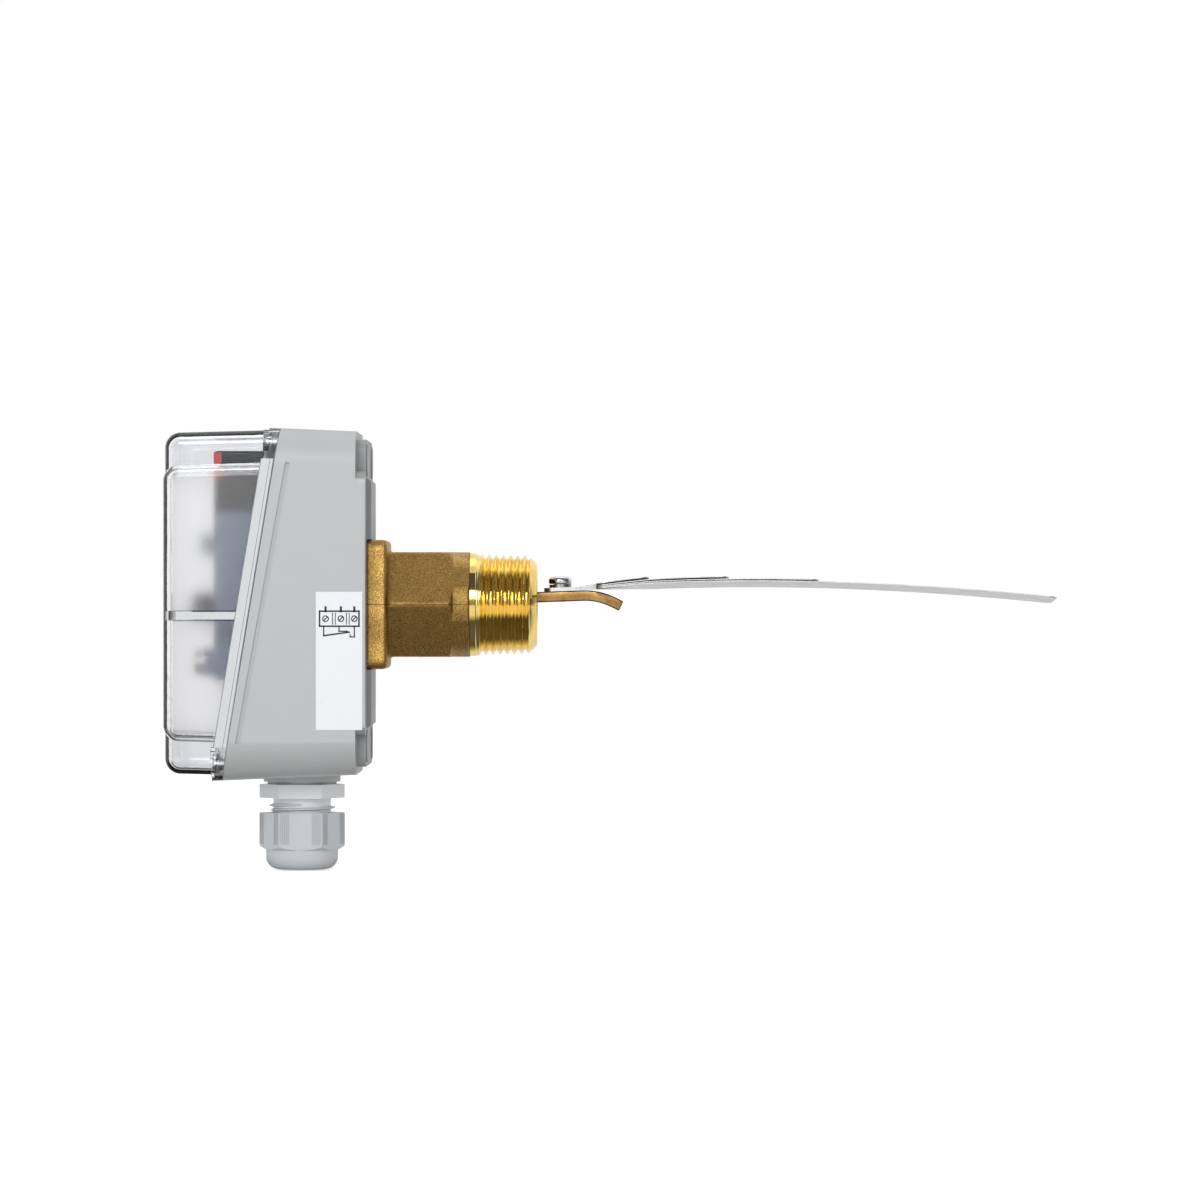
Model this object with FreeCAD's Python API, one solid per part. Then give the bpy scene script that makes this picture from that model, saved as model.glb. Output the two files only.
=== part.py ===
"""Paddle flow switch for a 1 inch pipe tee.

Frame: +X runs along the pipe thread from the housing to the paddle tip, +Z is up with the
cable gland pointing down, and the origin lies on the thread axis where the hexagon ends and
the thread begins. Millimetres.
"""
import FreeCAD, Part
import math
import os

V = FreeCAD.Vector
AXES = {"x": V(1, 0, 0), "y": V(0, 1, 0), "z": V(0, 0, 1)}

# ---------------------------------------------------------------- driving dimensions
# clearances
RUN = 0.05                # radial running clearance of a pin or shaft
PLAY = 0.15               # clearance of a fixed piece in its seat
SOLDER = 0.05             # solder gap round the lever in the bellows cap
FREE = 0.5                # air beside a piece that moves

# screws: shank radius and (head radius, head height)
M4_R = 2.0
M4_HEAD = (3.5, 2.6)
M3_R = 1.5
M3_HEAD = (2.75, 1.8)

# brass body, from the origin back to its flange
HEX_LENGTH = 26.2
HEX_AF = 33.9
HEX_EDGE_R = 2.0
HEX_TURNED = 5.4          # turned end of the hexagon, beside the thread
HEX_TURNED_R = 17.3
HEX_RUNOUT = 2.0
FLANGE_THICK = 6.6
FLANGE_HALF = 20.8
FLANGE_HALF_WIDTH = 20.0
FLANGE_CORNER_R = 3.0
FLANGE_EDGE_R = 1.2
THREAD_R = 16.55
THREAD_LENGTH = 21.8
THREAD_CHAMFER = (2.8, 3.1)     # along the axis, in radius
BODY_BORE_R = 11.5
BODY_SCREW_YZ = (12.5, 16.5)
BODY_SCREW_DEEP = 4.4
SEAL_R = (15.7, 17.5)
SEAL_DEEP = 1.6

FLANGE_X = -HEX_LENGTH
BACK_X = FLANGE_X - FLANGE_THICK          # back face of the housing, under the flange

# housing base
HOUSING_WIDTH = 70.0
HOUSING_HEIGHT = 110.2    # at its back
HOUSING_RISE = 0.45       # its middle over the thread axis
HOUSING_DEPTH = 64.6
CORNER_R = 11.0
BASE_DRAFT = 0.042        # growth of the outline towards the seam, mm per mm
BASE_WALL = 2.5
PLINTH = 3.1              # stepped plinth at the back
PLINTH_NOTCH = (8.0, 13.0)      # step in at the corners, across and up
PLINTH_INSET = 2.6
MIDDLE_WALL = 2.6         # wall under the brass flange
POCKET_INSET = (11.0, 7.6)
PAD_HALF_WIDTH = 19.0
PAD_INSET = 16.0
PAD_HEIGHT = 1.5
PAD_BEVEL = 1.2
FOOT_R = 5.2
FOOT_HEIGHT = 0.4
FOOT_INSET = (15.0, 9.2)
SEAM_DEPTH = 36.6        # from the back face to the seam plane on the thread axis
SEAM_ANGLE = 9.36         # lean of the seam plane, degrees
RIM_DEPTH = 4.0           # thick rim of the base behind the seam
GROOVE_OFFSET = 3.85      # trim groove on each side, behind the seam
GROOVE_ANGLE = 10.1
GROOVE_INSET = 10.2
GROOVE_WIDTH = 1.4
GROOVE_DEEP = 0.7

HALF_WIDTH = HOUSING_WIDTH / 2
BASE_LOW = HOUSING_RISE - HOUSING_HEIGHT / 2
BASE_HIGH = HOUSING_RISE + HOUSING_HEIGHT / 2
FRONT_X = BACK_X - HOUSING_DEPTH
BACK_STEP_X = BACK_X - PLINTH
FLOOR_X = BACK_STEP_X - BASE_WALL
POCKET_X = BACK_X - MIDDLE_WALL           # floor of the middle pocket that seats the bracket
SEAM_X = BACK_X - SEAM_DEPTH
GROOVE_X = SEAM_X + GROOVE_OFFSET

# clear cover
COVER_WALL = 2.0
COVER_DRAFT = 0.026
COVER_INSET = 0.45        # its front is this much lower than the base's back outline
FRONT_ROUND = 5.0
NOTCH_R = 4.0
NOTCH = (8.5, 10.6)       # corner notches for the screws, across and up
COVER_RIM = 3.4
RIM_LIP = 4.0             # width of the rim inside the cover's outline
COVER_RIB_LOW = -5.1
COVER_RIB_WIDTH = 3.1
COVER_RIB_HEIGHT = 1.5
GASKET_INSET = (1.2, 2.8)
GASKET_DEEP = 1.6
COVER_SCREW_INSET = (5.2, 4.3)
COVER_SCREW_R = 1.75
COVER_SCREW_HEAD = (2.9, 2.2)
COVER_SCREW_SEAT = 1.7    # plastic under the head, in front of the seam
COVER_SCREW_LENGTH = 14.0
COLUMN_R = 5.0

# cable gland, metric 20
GLAND_SETBACK = 21.7      # its axis, in front of the back face
GLAND_AF = 24.0
GLAND_THREAD_R = 10.0
GLAND_BOSS_R = 12.5
GLAND_BOSS = 2.75          # boss below the housing
GLAND_INNER_BOSS_R = 14.5
GLAND_INNER_BOSS = 2.4
GLAND_WASHER = 0.8
GLAND_WASHER_R = 11.2
GLAND_COLLAR = 4.5        # hexagon of the gland body
GLAND_NECK = 4.7          # neck seen between the two hexagons
GLAND_NECK_R = 9.35
GLAND_BORE_R = 7.0
GLAND_LIP = 1.2           # wall round the seal
GLAND_SEAL_R = 5.25
GLAND_SEAL_LENGTH = 10.0
GLAND_NUT = 10.8
GLAND_NUT_CHAMFER = 1.2
GLAND_DOME_R = 11.75
GLAND_DOME = 7.6
GLAND_DOME_ROUND = 4.2
GLAND_MOUTH = 1.4         # the cap nut's mouth is wider than the seal by this
GLAND_MOUTH_LIP = 2.2
GLAND_LOCKNUT_AF = 26.0
GLAND_LOCKNUT = 5.0

GLAND_X = BACK_X - GLAND_SETBACK
GLAND_BOSS_Z = BASE_LOW - GLAND_BOSS
GLAND_INNER_Z = BASE_LOW + GLAND_INNER_BOSS
GLAND_COLLAR_Z = GLAND_BOSS_Z - GLAND_WASHER - GLAND_COLLAR
GLAND_NUT_Z = GLAND_COLLAR_Z - GLAND_NECK - GLAND_NUT
GLAND_DOME_Z = GLAND_NUT_Z - GLAND_DOME
GLAND_THREAD_END_Z = GLAND_INNER_Z + GLAND_LOCKNUT + 1.0

# pivot and bellows, inside the brass body
PIVOT_DEPTH = 7.4         # from the back face
PIN_R = 1.5
HUB_R = 4.2
HUB_HALF_WIDTH = 7.4
CARRIER_R = 13.0
CARRIER_LENGTH = 16.0
CARRIER_BORE_R = 9.0
CARRIER_LIP_R = 7.0
CARRIER_LIP = 1.6
BELLOWS_R = (6.9, 8.7)
BELLOWS_WALL = 0.3
BELLOWS_TURNS = 6
BELLOWS_LENGTH = 18.0
BELLOWS_CAP = 1.0

PIVOT_X = BACK_X + PIVOT_DEPTH
CARRIER_END_X = BACK_X + CARRIER_LENGTH
BELLOWS_END_X = CARRIER_END_X + BELLOWS_LENGTH

# lever
LEVER_THICK = 3.4
LEVER_WIDTH = 10.0
LEVER_RISE = 0.7          # height of the bar's middle over the pivot
LEVER_TILT = 2.0          # degrees
LEVER_STRAIGHT = 62.2     # from the pivot to the bend
LEVER_BEND_R = 20.0
LEVER_BEND = 28.0
LEVER_TIP = 3.2
LEVER_SWING = 3.0         # degrees to the upper stop
TAIL_LENGTH = 18.0
TAIL_THICK = 2.0

# paddles, each (reach from the clamp screw, lift of its tip over the longest one)
CLAMP_REACH = 54.9        # from the pivot to the clamp screw
PADDLE_THICK = 0.3
PADDLE_WIDTH = 28.5
PADDLE_TIP_R = 3.0
TONGUE_WIDTH = 10.0
TONGUE_BACK = 5.3
SHOULDER = 11.5           # where the tongue widens, past the clamp screw
PADDLE_FLAT = 4.5         # flat stretch under the screw
PADDLES = {"paddle_6in": (160.0, 0.0), "paddle_3in": (83.4, 0.35), "paddle_2in": (54.5, 0.75),
           "paddle_1in": (28.7, 1.05)}
SPRING_CURVE = (0.074742, -0.00069164, 5.0454e-7)   # rise of the longest strip past the clamp
CLAMP_HEAD = (3.75, 2.6)
WASHER_R = 3.6
WASHER_THICK = 1.0

# bracket, a folded sheet channel
SHEET = 1.5
BRACKET_DEPTH = 46.5
BRACKET_HALF_WIDTH = 18.8
BRACKET_LOW = -24.5
BRACKET_HIGH = 30.0
BRACKET_BEND_R = 2.0
PASS_R = 9.5              # hole for the lever's tail in base and bracket
BRIDGE = 12.0             # height of the cross strip that carries the range screw
EARTH_TAB = (12.8, 12.5)  # width, height
EARTH_INSET = (6.8, 5.9)  # earth screw from the bracket's near lower corner
EARTH_HEAD = (4.0, 3.4)
EARTH_CLAMP = (4.4, 3.1)  # half width, height
EARTH_SCREW_REACH = 6.0
TOP_TAB = (6.0, 9.3)      # length, width

BRACKET_FRONT_X = POCKET_X - BRACKET_DEPTH
CHEEK_IN = BRACKET_HALF_WIDTH - SHEET
EARTH_Y = -BRACKET_HALF_WIDTH + EARTH_INSET[0]
EARTH_Z = BRACKET_LOW + EARTH_INSET[1]

# microswitch, its plunger on the switch arm
PLUNGER_ARM = 38.0        # from the pivot
PLUNGER_R = 1.1
PLUNGER_STEM = 5.4
PLUNGER_COLLAR = (2.0, 0.8)
SWITCH_FRONT = 11.0       # plunger to the switch's front end
SWITCH_LENGTH = 27.8
SWITCH_THICK = 10.3
SWITCH_HEIGHT = 15.9
SWITCH_CLEAR = 3.4        # above the arm
SWITCH_HOLES = (2.8, 2.8) # its two screws, in from opposite corners
STRIPS = (3.0, 12.0, 21.0)      # contact strips, from the switch's front end
STRIP_WIDTH = 5.0
STRIP_THICK = 0.8
STRIP_ENTRY = 3.0         # how far they reach into the terminal block

# switch arm
ARM_THICK = 2.0
ARM_WIDTH = 10.0
ARM_START = 6.5           # from the pivot
ARM_SCREW_REACH = 15.0
ARM_OVERHANG = 3.5        # past the bracket's front
WING_FRONT = 4.0          # wide part, in front of the plunger
WING_LENGTH = 16.0
WING_Y = (-16.0, 10.0)
STOP_WIDTH = 4.0
STOP_REACH = 1.3          # tongue past the far cheek
LEG_REACH = 31.0          # from the pivot to the upright leg
LEG_HALF_WIDTH = 5.0
LEG_ROUND = 3.0
LEG_OVER = 5.3            # above the range screw
FINGER_PAD = (7.9, 0.4)   # in front of the bracket: from, to
FINGER_PAD_Z = (-5.0, 3.9)
FINGER_PAD_HALF_WIDTH = 5.5
FINGER_PAD_ROUND = 1.2

PLUNGER_X = PIVOT_X - PLUNGER_ARM
PLUNGER_Y = -CHEEK_IN + SWITCH_THICK / 2
SWITCH_X = (PLUNGER_X - SWITCH_FRONT, PLUNGER_X - SWITCH_FRONT + SWITCH_LENGTH)
SWITCH_Y = (-CHEEK_IN, -CHEEK_IN + SWITCH_THICK)
SWITCH_Z = (ARM_THICK / 2 + SWITCH_CLEAR, ARM_THICK / 2 + SWITCH_CLEAR + SWITCH_HEIGHT)
PLUNGER_FOOT = ARM_THICK / 2 + RUN
SWITCH_SCREWS = ((SWITCH_X[0] + SWITCH_HOLES[0], SWITCH_Z[0] + SWITCH_HOLES[1]),
                 (SWITCH_X[1] - SWITCH_HOLES[0], SWITCH_Z[1] - SWITCH_HOLES[1]))
WING_X = (PLUNGER_X - WING_FRONT, PLUNGER_X - WING_FRONT + WING_LENGTH)
ARM_SCREW_X = PIVOT_X - ARM_SCREW_REACH
LEG_X = PIVOT_X - LEG_REACH

# range adjustment
RANGE_Y = 5.0
RANGE_Z = 19.7
RANGE_HEAD = (3.5, 5.4)
RANGE_SLOT = (1.0, 1.6)         # width, depth
RANGE_NUT = 3.5
RANGE_NUT_HALF = 6.0
RANGE_NUT_ROUND = 1.5
RANGE_TRAVEL = (1.75, 3.5)      # slackened, tightened
RANGE_END = 1.15                # screw past the slackened nut
POINTER_HALF = 1.5
POINTER_REACH = 1.5
SPRING_LENGTH = 11.4
SPRING_R = 4.4
SPRING_WIRE_R = 0.5
SPRING_TURNS = 5

RANGE_NUT_X = (LEG_X + SPRING_LENGTH, LEG_X + SPRING_LENGTH + RANGE_NUT)
LEG_TOP = RANGE_Z + LEG_OVER

# terminal block, on top of the bracket
BLOCK_HEIGHT = 19.4
BLOCK_DEPTH = 37.5
BLOCK_EDGE_R = 1.2
WAY_PITCH = 11.3
WAY_WIDTH = 8.4
WELL_HEIGHT = 11.0
WELL_DEEP = 5.0
PLATE_THICK = 1.2
PLATE_INSET = (0.6, 1.0)        # inside the well, across and up
CLAMP_HALF = 3.3
TERMINAL_RISE = 5.5
TERMINAL_SCREW_R = 1.75
TERMINAL_HEAD = (3.0, 2.2)
TERMINAL_REACH = 5.5
MARKER_THICK = 2.0
MARKERS = ("marker_red", "marker_blue", "marker_white")
BLOCK_SCREW_Y = 13.0
BLOCK_SCREW_SEAT = 12.0

BLOCK_TOP = BRACKET_HIGH + BLOCK_HEIGHT
BLOCK_BACK_X = BRACKET_FRONT_X + BLOCK_DEPTH
BLOCK_SCREW_X = BLOCK_BACK_X - TOP_TAB[0] / 2
WELL_TOP = BRACKET_HIGH + WELL_HEIGHT
WELL_X = BRACKET_FRONT_X + WELL_DEEP
TERMINAL_Z = BRACKET_HIGH + TERMINAL_RISE
WAYS = tuple(zip((-WAY_PITCH, 0.0, WAY_PITCH), MARKERS))

# type label on the near side
LABEL_SIZE = (14.8, 44.1, 0.15)
LABEL_MARGIN = 0.8        # from the back face
LABEL_TOP = 4.1

FAR = 200.0


# ---------------------------------------------------------------- shape helpers
def block(x, y, z):
    """Box between two values along each axis."""
    return Part.makeBox(x[1] - x[0], y[1] - y[0], z[1] - z[0], V(x[0], y[0], z[0]))


def rod(axis, centre, radius, low, high):
    """Cylinder along an axis; centre gives the two other coordinates in order."""
    place = {"x": V(low, *centre), "y": V(centre[0], low, centre[1]), "z": V(*centre, low)}
    return Part.makeCylinder(radius, high - low, place[axis], AXES[axis])


def tube(axis, centre, radii, low, high):
    """Ring with an inner and an outer radius."""
    return rod(axis, centre, radii[1], low, high).cut(rod(axis, centre, radii[0], low - 1, high + 1))


def joined(shapes):
    """One solid from pieces that touch or overlap."""
    first, rest = shapes[0], list(shapes[1:])
    return first.fuse(rest).removeSplitter() if rest else first


def group(shapes):
    """Separate solids that share one node."""
    return Part.makeCompound(shapes)


def rounded_outline(x, size, radius):
    """Rounded rectangle in the plane at x; size is half width, lowest and highest z."""
    half, low, high = size
    bulge = radius * (1 - math.sqrt(0.5))
    edges = []
    corners = ((1, 1), (-1, 1), (-1, -1), (1, -1))
    points = []
    for side_y, side_z in corners:
        y = side_y * half
        z = high if side_z > 0 else low
        along_z = (y, z - side_z * radius)
        middle = (y - side_y * bulge, z - side_z * bulge)
        along_y = (y - side_y * radius, z)
        in_order = (along_z, middle, along_y) if side_y * side_z > 0 else (along_y, middle, along_z)
        points.append([V(x, *point) for point in in_order])
    for i, (start, middle, end) in enumerate(points):
        edges.append(Part.Arc(start, middle, end).toShape())
        edges.append(Part.LineSegment(end, points[(i + 1) % 4][0]).toShape())
    return Part.Wire(edges)


def tapered_prism(x_front, x_back, size_at, radius):
    """Solid between two rounded outlines whose size follows x."""
    wires = [rounded_outline(x, size_at(x), radius) for x in (x_front, x_back)]
    return Part.makeLoft(wires, True, True)


def slab(x_at_axis, angle, low, high):
    """Layer behind a leaning plane, between two distances along its normal."""
    layer = block((low, high), (-FAR, FAR), (-FAR, FAR))
    layer.rotate(V(0, 0, 0), AXES["y"], angle)
    layer.translate(V(x_at_axis, 0, 0))
    return layer


def seam_slab(low, high):
    return slab(SEAM_X, SEAM_ANGLE, low, high)


def seam_x(z):
    """The seam plane's x at a height."""
    return SEAM_X + z * math.tan(math.radians(SEAM_ANGLE))


def hexagon(axis, centre, across_flats, low, high):
    """Hexagonal prism whose flats face the last coordinate of centre."""
    circle_r = across_flats / math.sqrt(3)
    points = []
    for i in range(7):
        angle = math.radians(60 * i)
        a = centre[0] + circle_r * math.cos(angle)
        b = centre[1] + circle_r * math.sin(angle)
        points.append(V(low, a, b) if axis == "x" else V(a, b, low))
    return Part.Face(Part.makePolygon(points)).extrude(AXES[axis] * (high - low))


def profile_xz(points, half_width):
    """Prism across the width from an outline in x and z."""
    wire = Part.makePolygon([V(x, -half_width, z) for x, z in points + points[:1]])
    return Part.Face(wire).extrude(V(0, 2 * half_width, 0))


def turned(points, axis, centre):
    """Solid of revolution; points are distance along the axis and radius."""
    if axis == "x":
        wire = [V(along, centre[0] + radius, centre[1]) for along, radius in points]
        base = V(0, *centre)
    else:
        wire = [V(centre[0] + radius, centre[1], along) for along, radius in points]
        base = V(*centre, 0)
    face = Part.Face(Part.makePolygon(wire + wire[:1]))
    return face.revolve(base, AXES[axis], 360)


def edges_where(shape, test):
    return [edge for edge in shape.Edges if test(edge)]


def runs_along(edge, axis):
    """True for a straight edge parallel to an axis."""
    if edge.Curve.TypeId != "Part::GeomLine":
        return False
    return abs(abs(edge.tangentAt(edge.FirstParameter).dot(AXES[axis])) - 1) < 1e-6


def lies_at_x(edge, x):
    return all(abs(vertex.X - x) < 1e-6 for vertex in edge.Vertexes)


# ---------------------------------------------------------------- housing
def base_size(inset):
    """Size of the base's outline at x, set in by a wall."""
    def size_at(x):
        half = HOUSING_HEIGHT / 2 - inset + BASE_DRAFT * (BACK_STEP_X - x)
        return HALF_WIDTH - inset, HOUSING_RISE - half, HOUSING_RISE + half
    return size_at


def base_prism(inset, x_back):
    return tapered_prism(FRONT_X, x_back, base_size(inset), CORNER_R - inset)


def cover_prism(inset, x_front, x_back):
    """The two crossing blocks that make the cover's notched outline."""
    solids = []
    for across, up in ((NOTCH[0], 0.0), (0.0, NOTCH[1])):
        def size_at(x, across=across, up=up):
            shrink = COVER_INSET + up + inset - COVER_DRAFT * (x - FRONT_X)
            return HALF_WIDTH - across - inset, BASE_LOW + shrink, BASE_HIGH - shrink
        solid = tapered_prism(x_front, x_back, size_at, NOTCH_R - min(inset, NOTCH_R - 1))
        solids.append(solid)
    return solids


def notched_prism(inset, x_front, x_back):
    return joined(cover_prism(inset, x_front, x_back))


def cover_screw_places():
    across, up = COVER_SCREW_INSET
    return [(side * (HALF_WIDTH - across), z) for side in (-1, 1)
            for z in (BASE_LOW + up, BASE_HIGH - up)]


def feet_places():
    across, up = FOOT_INSET
    return [(side * (HALF_WIDTH - across), z) for side in (-1, 1)
            for z in (BASE_LOW + up, BASE_HIGH - up)]


def body_screw_places():
    y, z = BODY_SCREW_YZ
    return [(side * y, end * z) for side in (-1, 1) for end in (-1, 1)]


def back_face_parts():
    """Notched plinth, raised pad and wall feet on the back of the base."""
    overlap = 1.0
    front = BACK_STEP_X - overlap
    across, up = PLINTH_NOTCH
    tall = (HALF_WIDTH - across, BASE_LOW + PLINTH_INSET, BASE_HIGH - PLINTH_INSET)
    wide = (HALF_WIDTH, BASE_LOW + up, BASE_HIGH - up)
    parts = [tapered_prism(front, BACK_X, lambda x, s=size: s, NOTCH_R) for size in (tall, wide)]
    low, high = BASE_LOW + PAD_INSET, BASE_HIGH - PAD_INSET
    pad_back = BACK_X + PAD_HEIGHT
    pad = profile_xz([(BACK_X - overlap, low - PAD_BEVEL), (BACK_X, low - PAD_BEVEL),
                      (pad_back, low), (pad_back, high), (BACK_X, high + PAD_BEVEL),
                      (BACK_X - overlap, high + PAD_BEVEL)], PAD_HALF_WIDTH)
    parts.append(pad)
    for y, z in feet_places():
        parts.append(rod("x", (y, z), FOOT_R, BACK_X - overlap, BACK_X + FOOT_HEIGHT))
    return parts


def gland_bosses():
    centre = (GLAND_X, 0)
    outer = rod("z", centre, GLAND_BOSS_R, GLAND_BOSS_Z, GLAND_INNER_Z - 1)
    inner = rod("z", centre, GLAND_INNER_BOSS_R, BASE_LOW, GLAND_INNER_Z)
    return [outer, inner]


def make_housing_base():
    outer = base_prism(0, BACK_STEP_X)
    shell = outer.common(seam_slab(0, FAR))
    columns = [rod("x", place, COLUMN_R, FRONT_X, FLOOR_X).common(outer)
               for place in cover_screw_places()]
    cavity = base_prism(BASE_WALL, FLOOR_X).common(seam_slab(RIM_DEPTH, FAR)).cut(columns)
    mouth = notched_prism(RIM_LIP, FRONT_X, FLOOR_X).common(seam_slab(-1, RIM_DEPTH + 1))
    across, up = POCKET_INSET
    pocket = block((FLOOR_X - 1, POCKET_X), (across - HALF_WIDTH, HALF_WIDTH - across),
                   (BASE_LOW + up, BASE_HIGH - up))
    base = joined([shell] + back_face_parts())
    base = base.cut([cavity, mouth, pocket]).fuse(gland_bosses())
    cuts = [rod("z", (GLAND_X, 0), GLAND_THREAD_R + PLAY, GLAND_BOSS_Z - 1, GLAND_INNER_Z + 1)]
    cuts.append(rod("x", (0, 0), PASS_R, POCKET_X - 1, BACK_X + 1))
    cuts.append(tube("x", (0, 0), SEAL_R, BACK_X - SEAL_DEEP, BACK_X))
    cuts.append(block((BACK_X, 0), (-FAR, FAR), (-FLANGE_HALF - PLAY, FLANGE_HALF + PLAY)))
    for place in body_screw_places():
        cuts.append(rod("x", place, M4_R + PLAY, POCKET_X - 1, BACK_X + 1))
    for y, z in cover_screw_places():
        start = seam_x(z) - COVER_SCREW_SEAT
        cuts.append(rod("x", (y, z), COVER_SCREW_R, start, start + COVER_SCREW_LENGTH))
    cuts.append(gasket_ring().common(seam_slab(-1, GASKET_DEEP)))
    trim = slab(GROOVE_X, GROOVE_ANGLE, -GROOVE_WIDTH / 2, GROOVE_WIDTH / 2)
    for side in (-1, 1):
        edge = sorted((side * (HALF_WIDTH - GROOVE_DEEP), side * (HALF_WIDTH + 1)))
        span = (BASE_LOW + GROOVE_INSET, BASE_HIGH - GROOVE_INSET)
        cuts.append(trim.common(block((-FAR, 0), edge, span)))
    return base.cut(cuts).removeSplitter()


def gasket_ring():
    outer = notched_prism(GASKET_INSET[0], FRONT_X, FLOOR_X)
    return outer.cut(notched_prism(GASKET_INSET[1], FRONT_X - 1, FLOOR_X + 1))


def make_cover_gasket():
    return gasket_ring().common(seam_slab(0, GASKET_DEEP))


def rounded_front(solids, radius):
    """Cover blocks with their front edges rounded, as one solid."""
    rounded = []
    for solid in solids:
        front = min(vertex.X for vertex in solid.Vertexes)
        edges = edges_where(solid, lambda edge: lies_at_x(edge, front))
        rounded.append(solid.makeFillet(radius, edges))
    return joined(rounded)


def make_clear_cover():
    outside = rounded_front(cover_prism(0, FRONT_X, FLOOR_X), FRONT_ROUND)
    hollow_front = FRONT_X + COVER_WALL
    inner_blocks = cover_prism(COVER_WALL, hollow_front, FLOOR_X + 1)
    inside = rounded_front(inner_blocks, FRONT_ROUND - COVER_WALL)
    walls = outside.common(seam_slab(-FAR, 0)).cut(inside)
    outline = base_prism(0, BACK_STEP_X)
    rim = outline.common(seam_slab(-COVER_RIM, 0))
    bosses = [rod("x", place, COLUMN_R, seam_x(place[1]) - COVER_RIM - 1.0, seam_x(place[1]))
              for place in cover_screw_places()]
    bosses = [boss.common(outline).common(seam_slab(-FAR, 0)) for boss in bosses]
    mouth = notched_prism(RIM_LIP, FRONT_X, FLOOR_X)
    rim = rim.cut(mouth)
    cover = joined([walls, rim] + [boss.cut(inside) for boss in bosses])
    for side in (-1, 1):
        face = side * (HALF_WIDTH - COVER_WALL)
        across = sorted((face + side * 0.5, face - side * COVER_RIB_HEIGHT))
        span = (COVER_RIB_LOW, COVER_RIB_LOW + COVER_RIB_WIDTH)
        rib = block((FRONT_X + COVER_WALL / 2, 0), across, span)
        cover = cover.fuse(rib.common(seam_slab(-FAR, 0)))
    cuts = []
    for y, z in cover_screw_places():
        seat = seam_x(z) - COVER_SCREW_SEAT
        cuts.append(rod("x", (y, z), COVER_SCREW_R + PLAY, seat - 1, seam_x(z) + 1))
        cuts.append(rod("x", (y, z), COVER_SCREW_HEAD[0] + PLAY, FRONT_X, seat))
    return cover.cut(cuts).removeSplitter()


def headed_screw(axis, centre, radius, head, seat, end):
    """Screw whose head sits on seat and whose shank runs to end."""
    head_r, head_h = head
    outward = -1 if end > seat else 1
    tip = sorted((seat, end))
    cap = sorted((seat, seat + outward * head_h))
    top = rod(axis, centre, head_r, *cap)
    rim = edges_where(top, lambda edge: len(edge.Vertexes) == 1)
    outer = [edge for edge in rim if abs(edge.BoundBox.Center.dot(AXES[axis])
                                         - (seat + outward * head_h)) < 1e-3]
    top = top.makeFillet(0.35 * head_h, outer)
    return joined([top, rod(axis, centre, radius, *tip)])


def make_cover_screws():
    screws = []
    for y, z in cover_screw_places():
        seat = seam_x(z) - COVER_SCREW_SEAT
        screws.append(headed_screw("x", (y, z), COVER_SCREW_R, COVER_SCREW_HEAD, seat,
                                   seat + COVER_SCREW_LENGTH))
    return group(screws)


def make_type_label():
    length, height, thick = LABEL_SIZE
    back = BACK_X - LABEL_MARGIN
    return block((back - length, back), (-HALF_WIDTH - thick, -HALF_WIDTH),
                 (LABEL_TOP - height, LABEL_TOP))


# ---------------------------------------------------------------- cable gland
GLAND = (GLAND_X, 0)
SEAL_Z = (GLAND_NUT_Z - 1.0, GLAND_NUT_Z - 1.0 + GLAND_SEAL_LENGTH)


def chamfered_hexagon(across_flats, low, high, upper=True):
    """Upright hexagon with the corner chamfer of a nut at its low end and, if upper, its top."""
    corner = across_flats / math.sqrt(3)
    flat = across_flats / 2
    drop = (corner - flat) * 0.6
    top = flat if upper else corner
    outline = [(low, 0), (low, flat), (low + drop, corner), (high - drop, corner), (high, top),
               (high, 0)]
    return hexagon("z", GLAND, across_flats, low, high).common(turned(outline, "z", GLAND))


def make_gland_washer():
    top = GLAND_BOSS_Z
    return tube("z", GLAND, (GLAND_THREAD_R + PLAY, GLAND_WASHER_R), top - GLAND_WASHER, top)


def make_gland_body():
    collar = hexagon("z", GLAND, GLAND_AF, GLAND_COLLAR_Z, GLAND_BOSS_Z - GLAND_WASHER)
    thread = rod("z", GLAND, GLAND_THREAD_R, GLAND_COLLAR_Z, GLAND_THREAD_END_Z)
    neck_end = GLAND_NUT_Z + 1.0
    neck = rod("z", GLAND, GLAND_NECK_R, neck_end, GLAND_COLLAR_Z + 1)
    body = joined([collar, thread, neck])
    bore = rod("z", GLAND, GLAND_BORE_R, neck_end - 1, GLAND_THREAD_END_Z + 1)
    seat = rod("z", GLAND, GLAND_NECK_R - GLAND_LIP, neck_end - 1, SEAL_Z[1])
    return body.cut([bore, seat])


def make_gland_seal():
    return tube("z", GLAND, (GLAND_SEAL_R, GLAND_NECK_R - GLAND_LIP - PLAY), *SEAL_Z)


def make_gland_nut():
    high, end = GLAND_NUT_Z + GLAND_NUT, GLAND_DOME_Z
    top = chamfered_hexagon(GLAND_AF, GLAND_NUT_Z - GLAND_NUT_CHAMFER, high, upper=False)
    dome = rod("z", GLAND, GLAND_DOME_R, end, GLAND_NUT_Z)
    lowest = edges_where(dome, lambda edge: edge.BoundBox.ZMax < end + 1e-6)
    dome = dome.makeFillet(GLAND_DOME_ROUND, lowest)
    inside_r = GLAND_NECK_R + PLAY
    mouth = GLAND_SEAL_R + GLAND_MOUTH
    hollow = turned([(high + 1, 0), (high + 1, inside_r), (SEAL_Z[0] - PLAY, inside_r),
                     (end + GLAND_MOUTH_LIP, mouth), (end - 1, mouth), (end - 1, 0)], "z", GLAND)
    return joined([top, dome]).cut(hollow)


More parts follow.
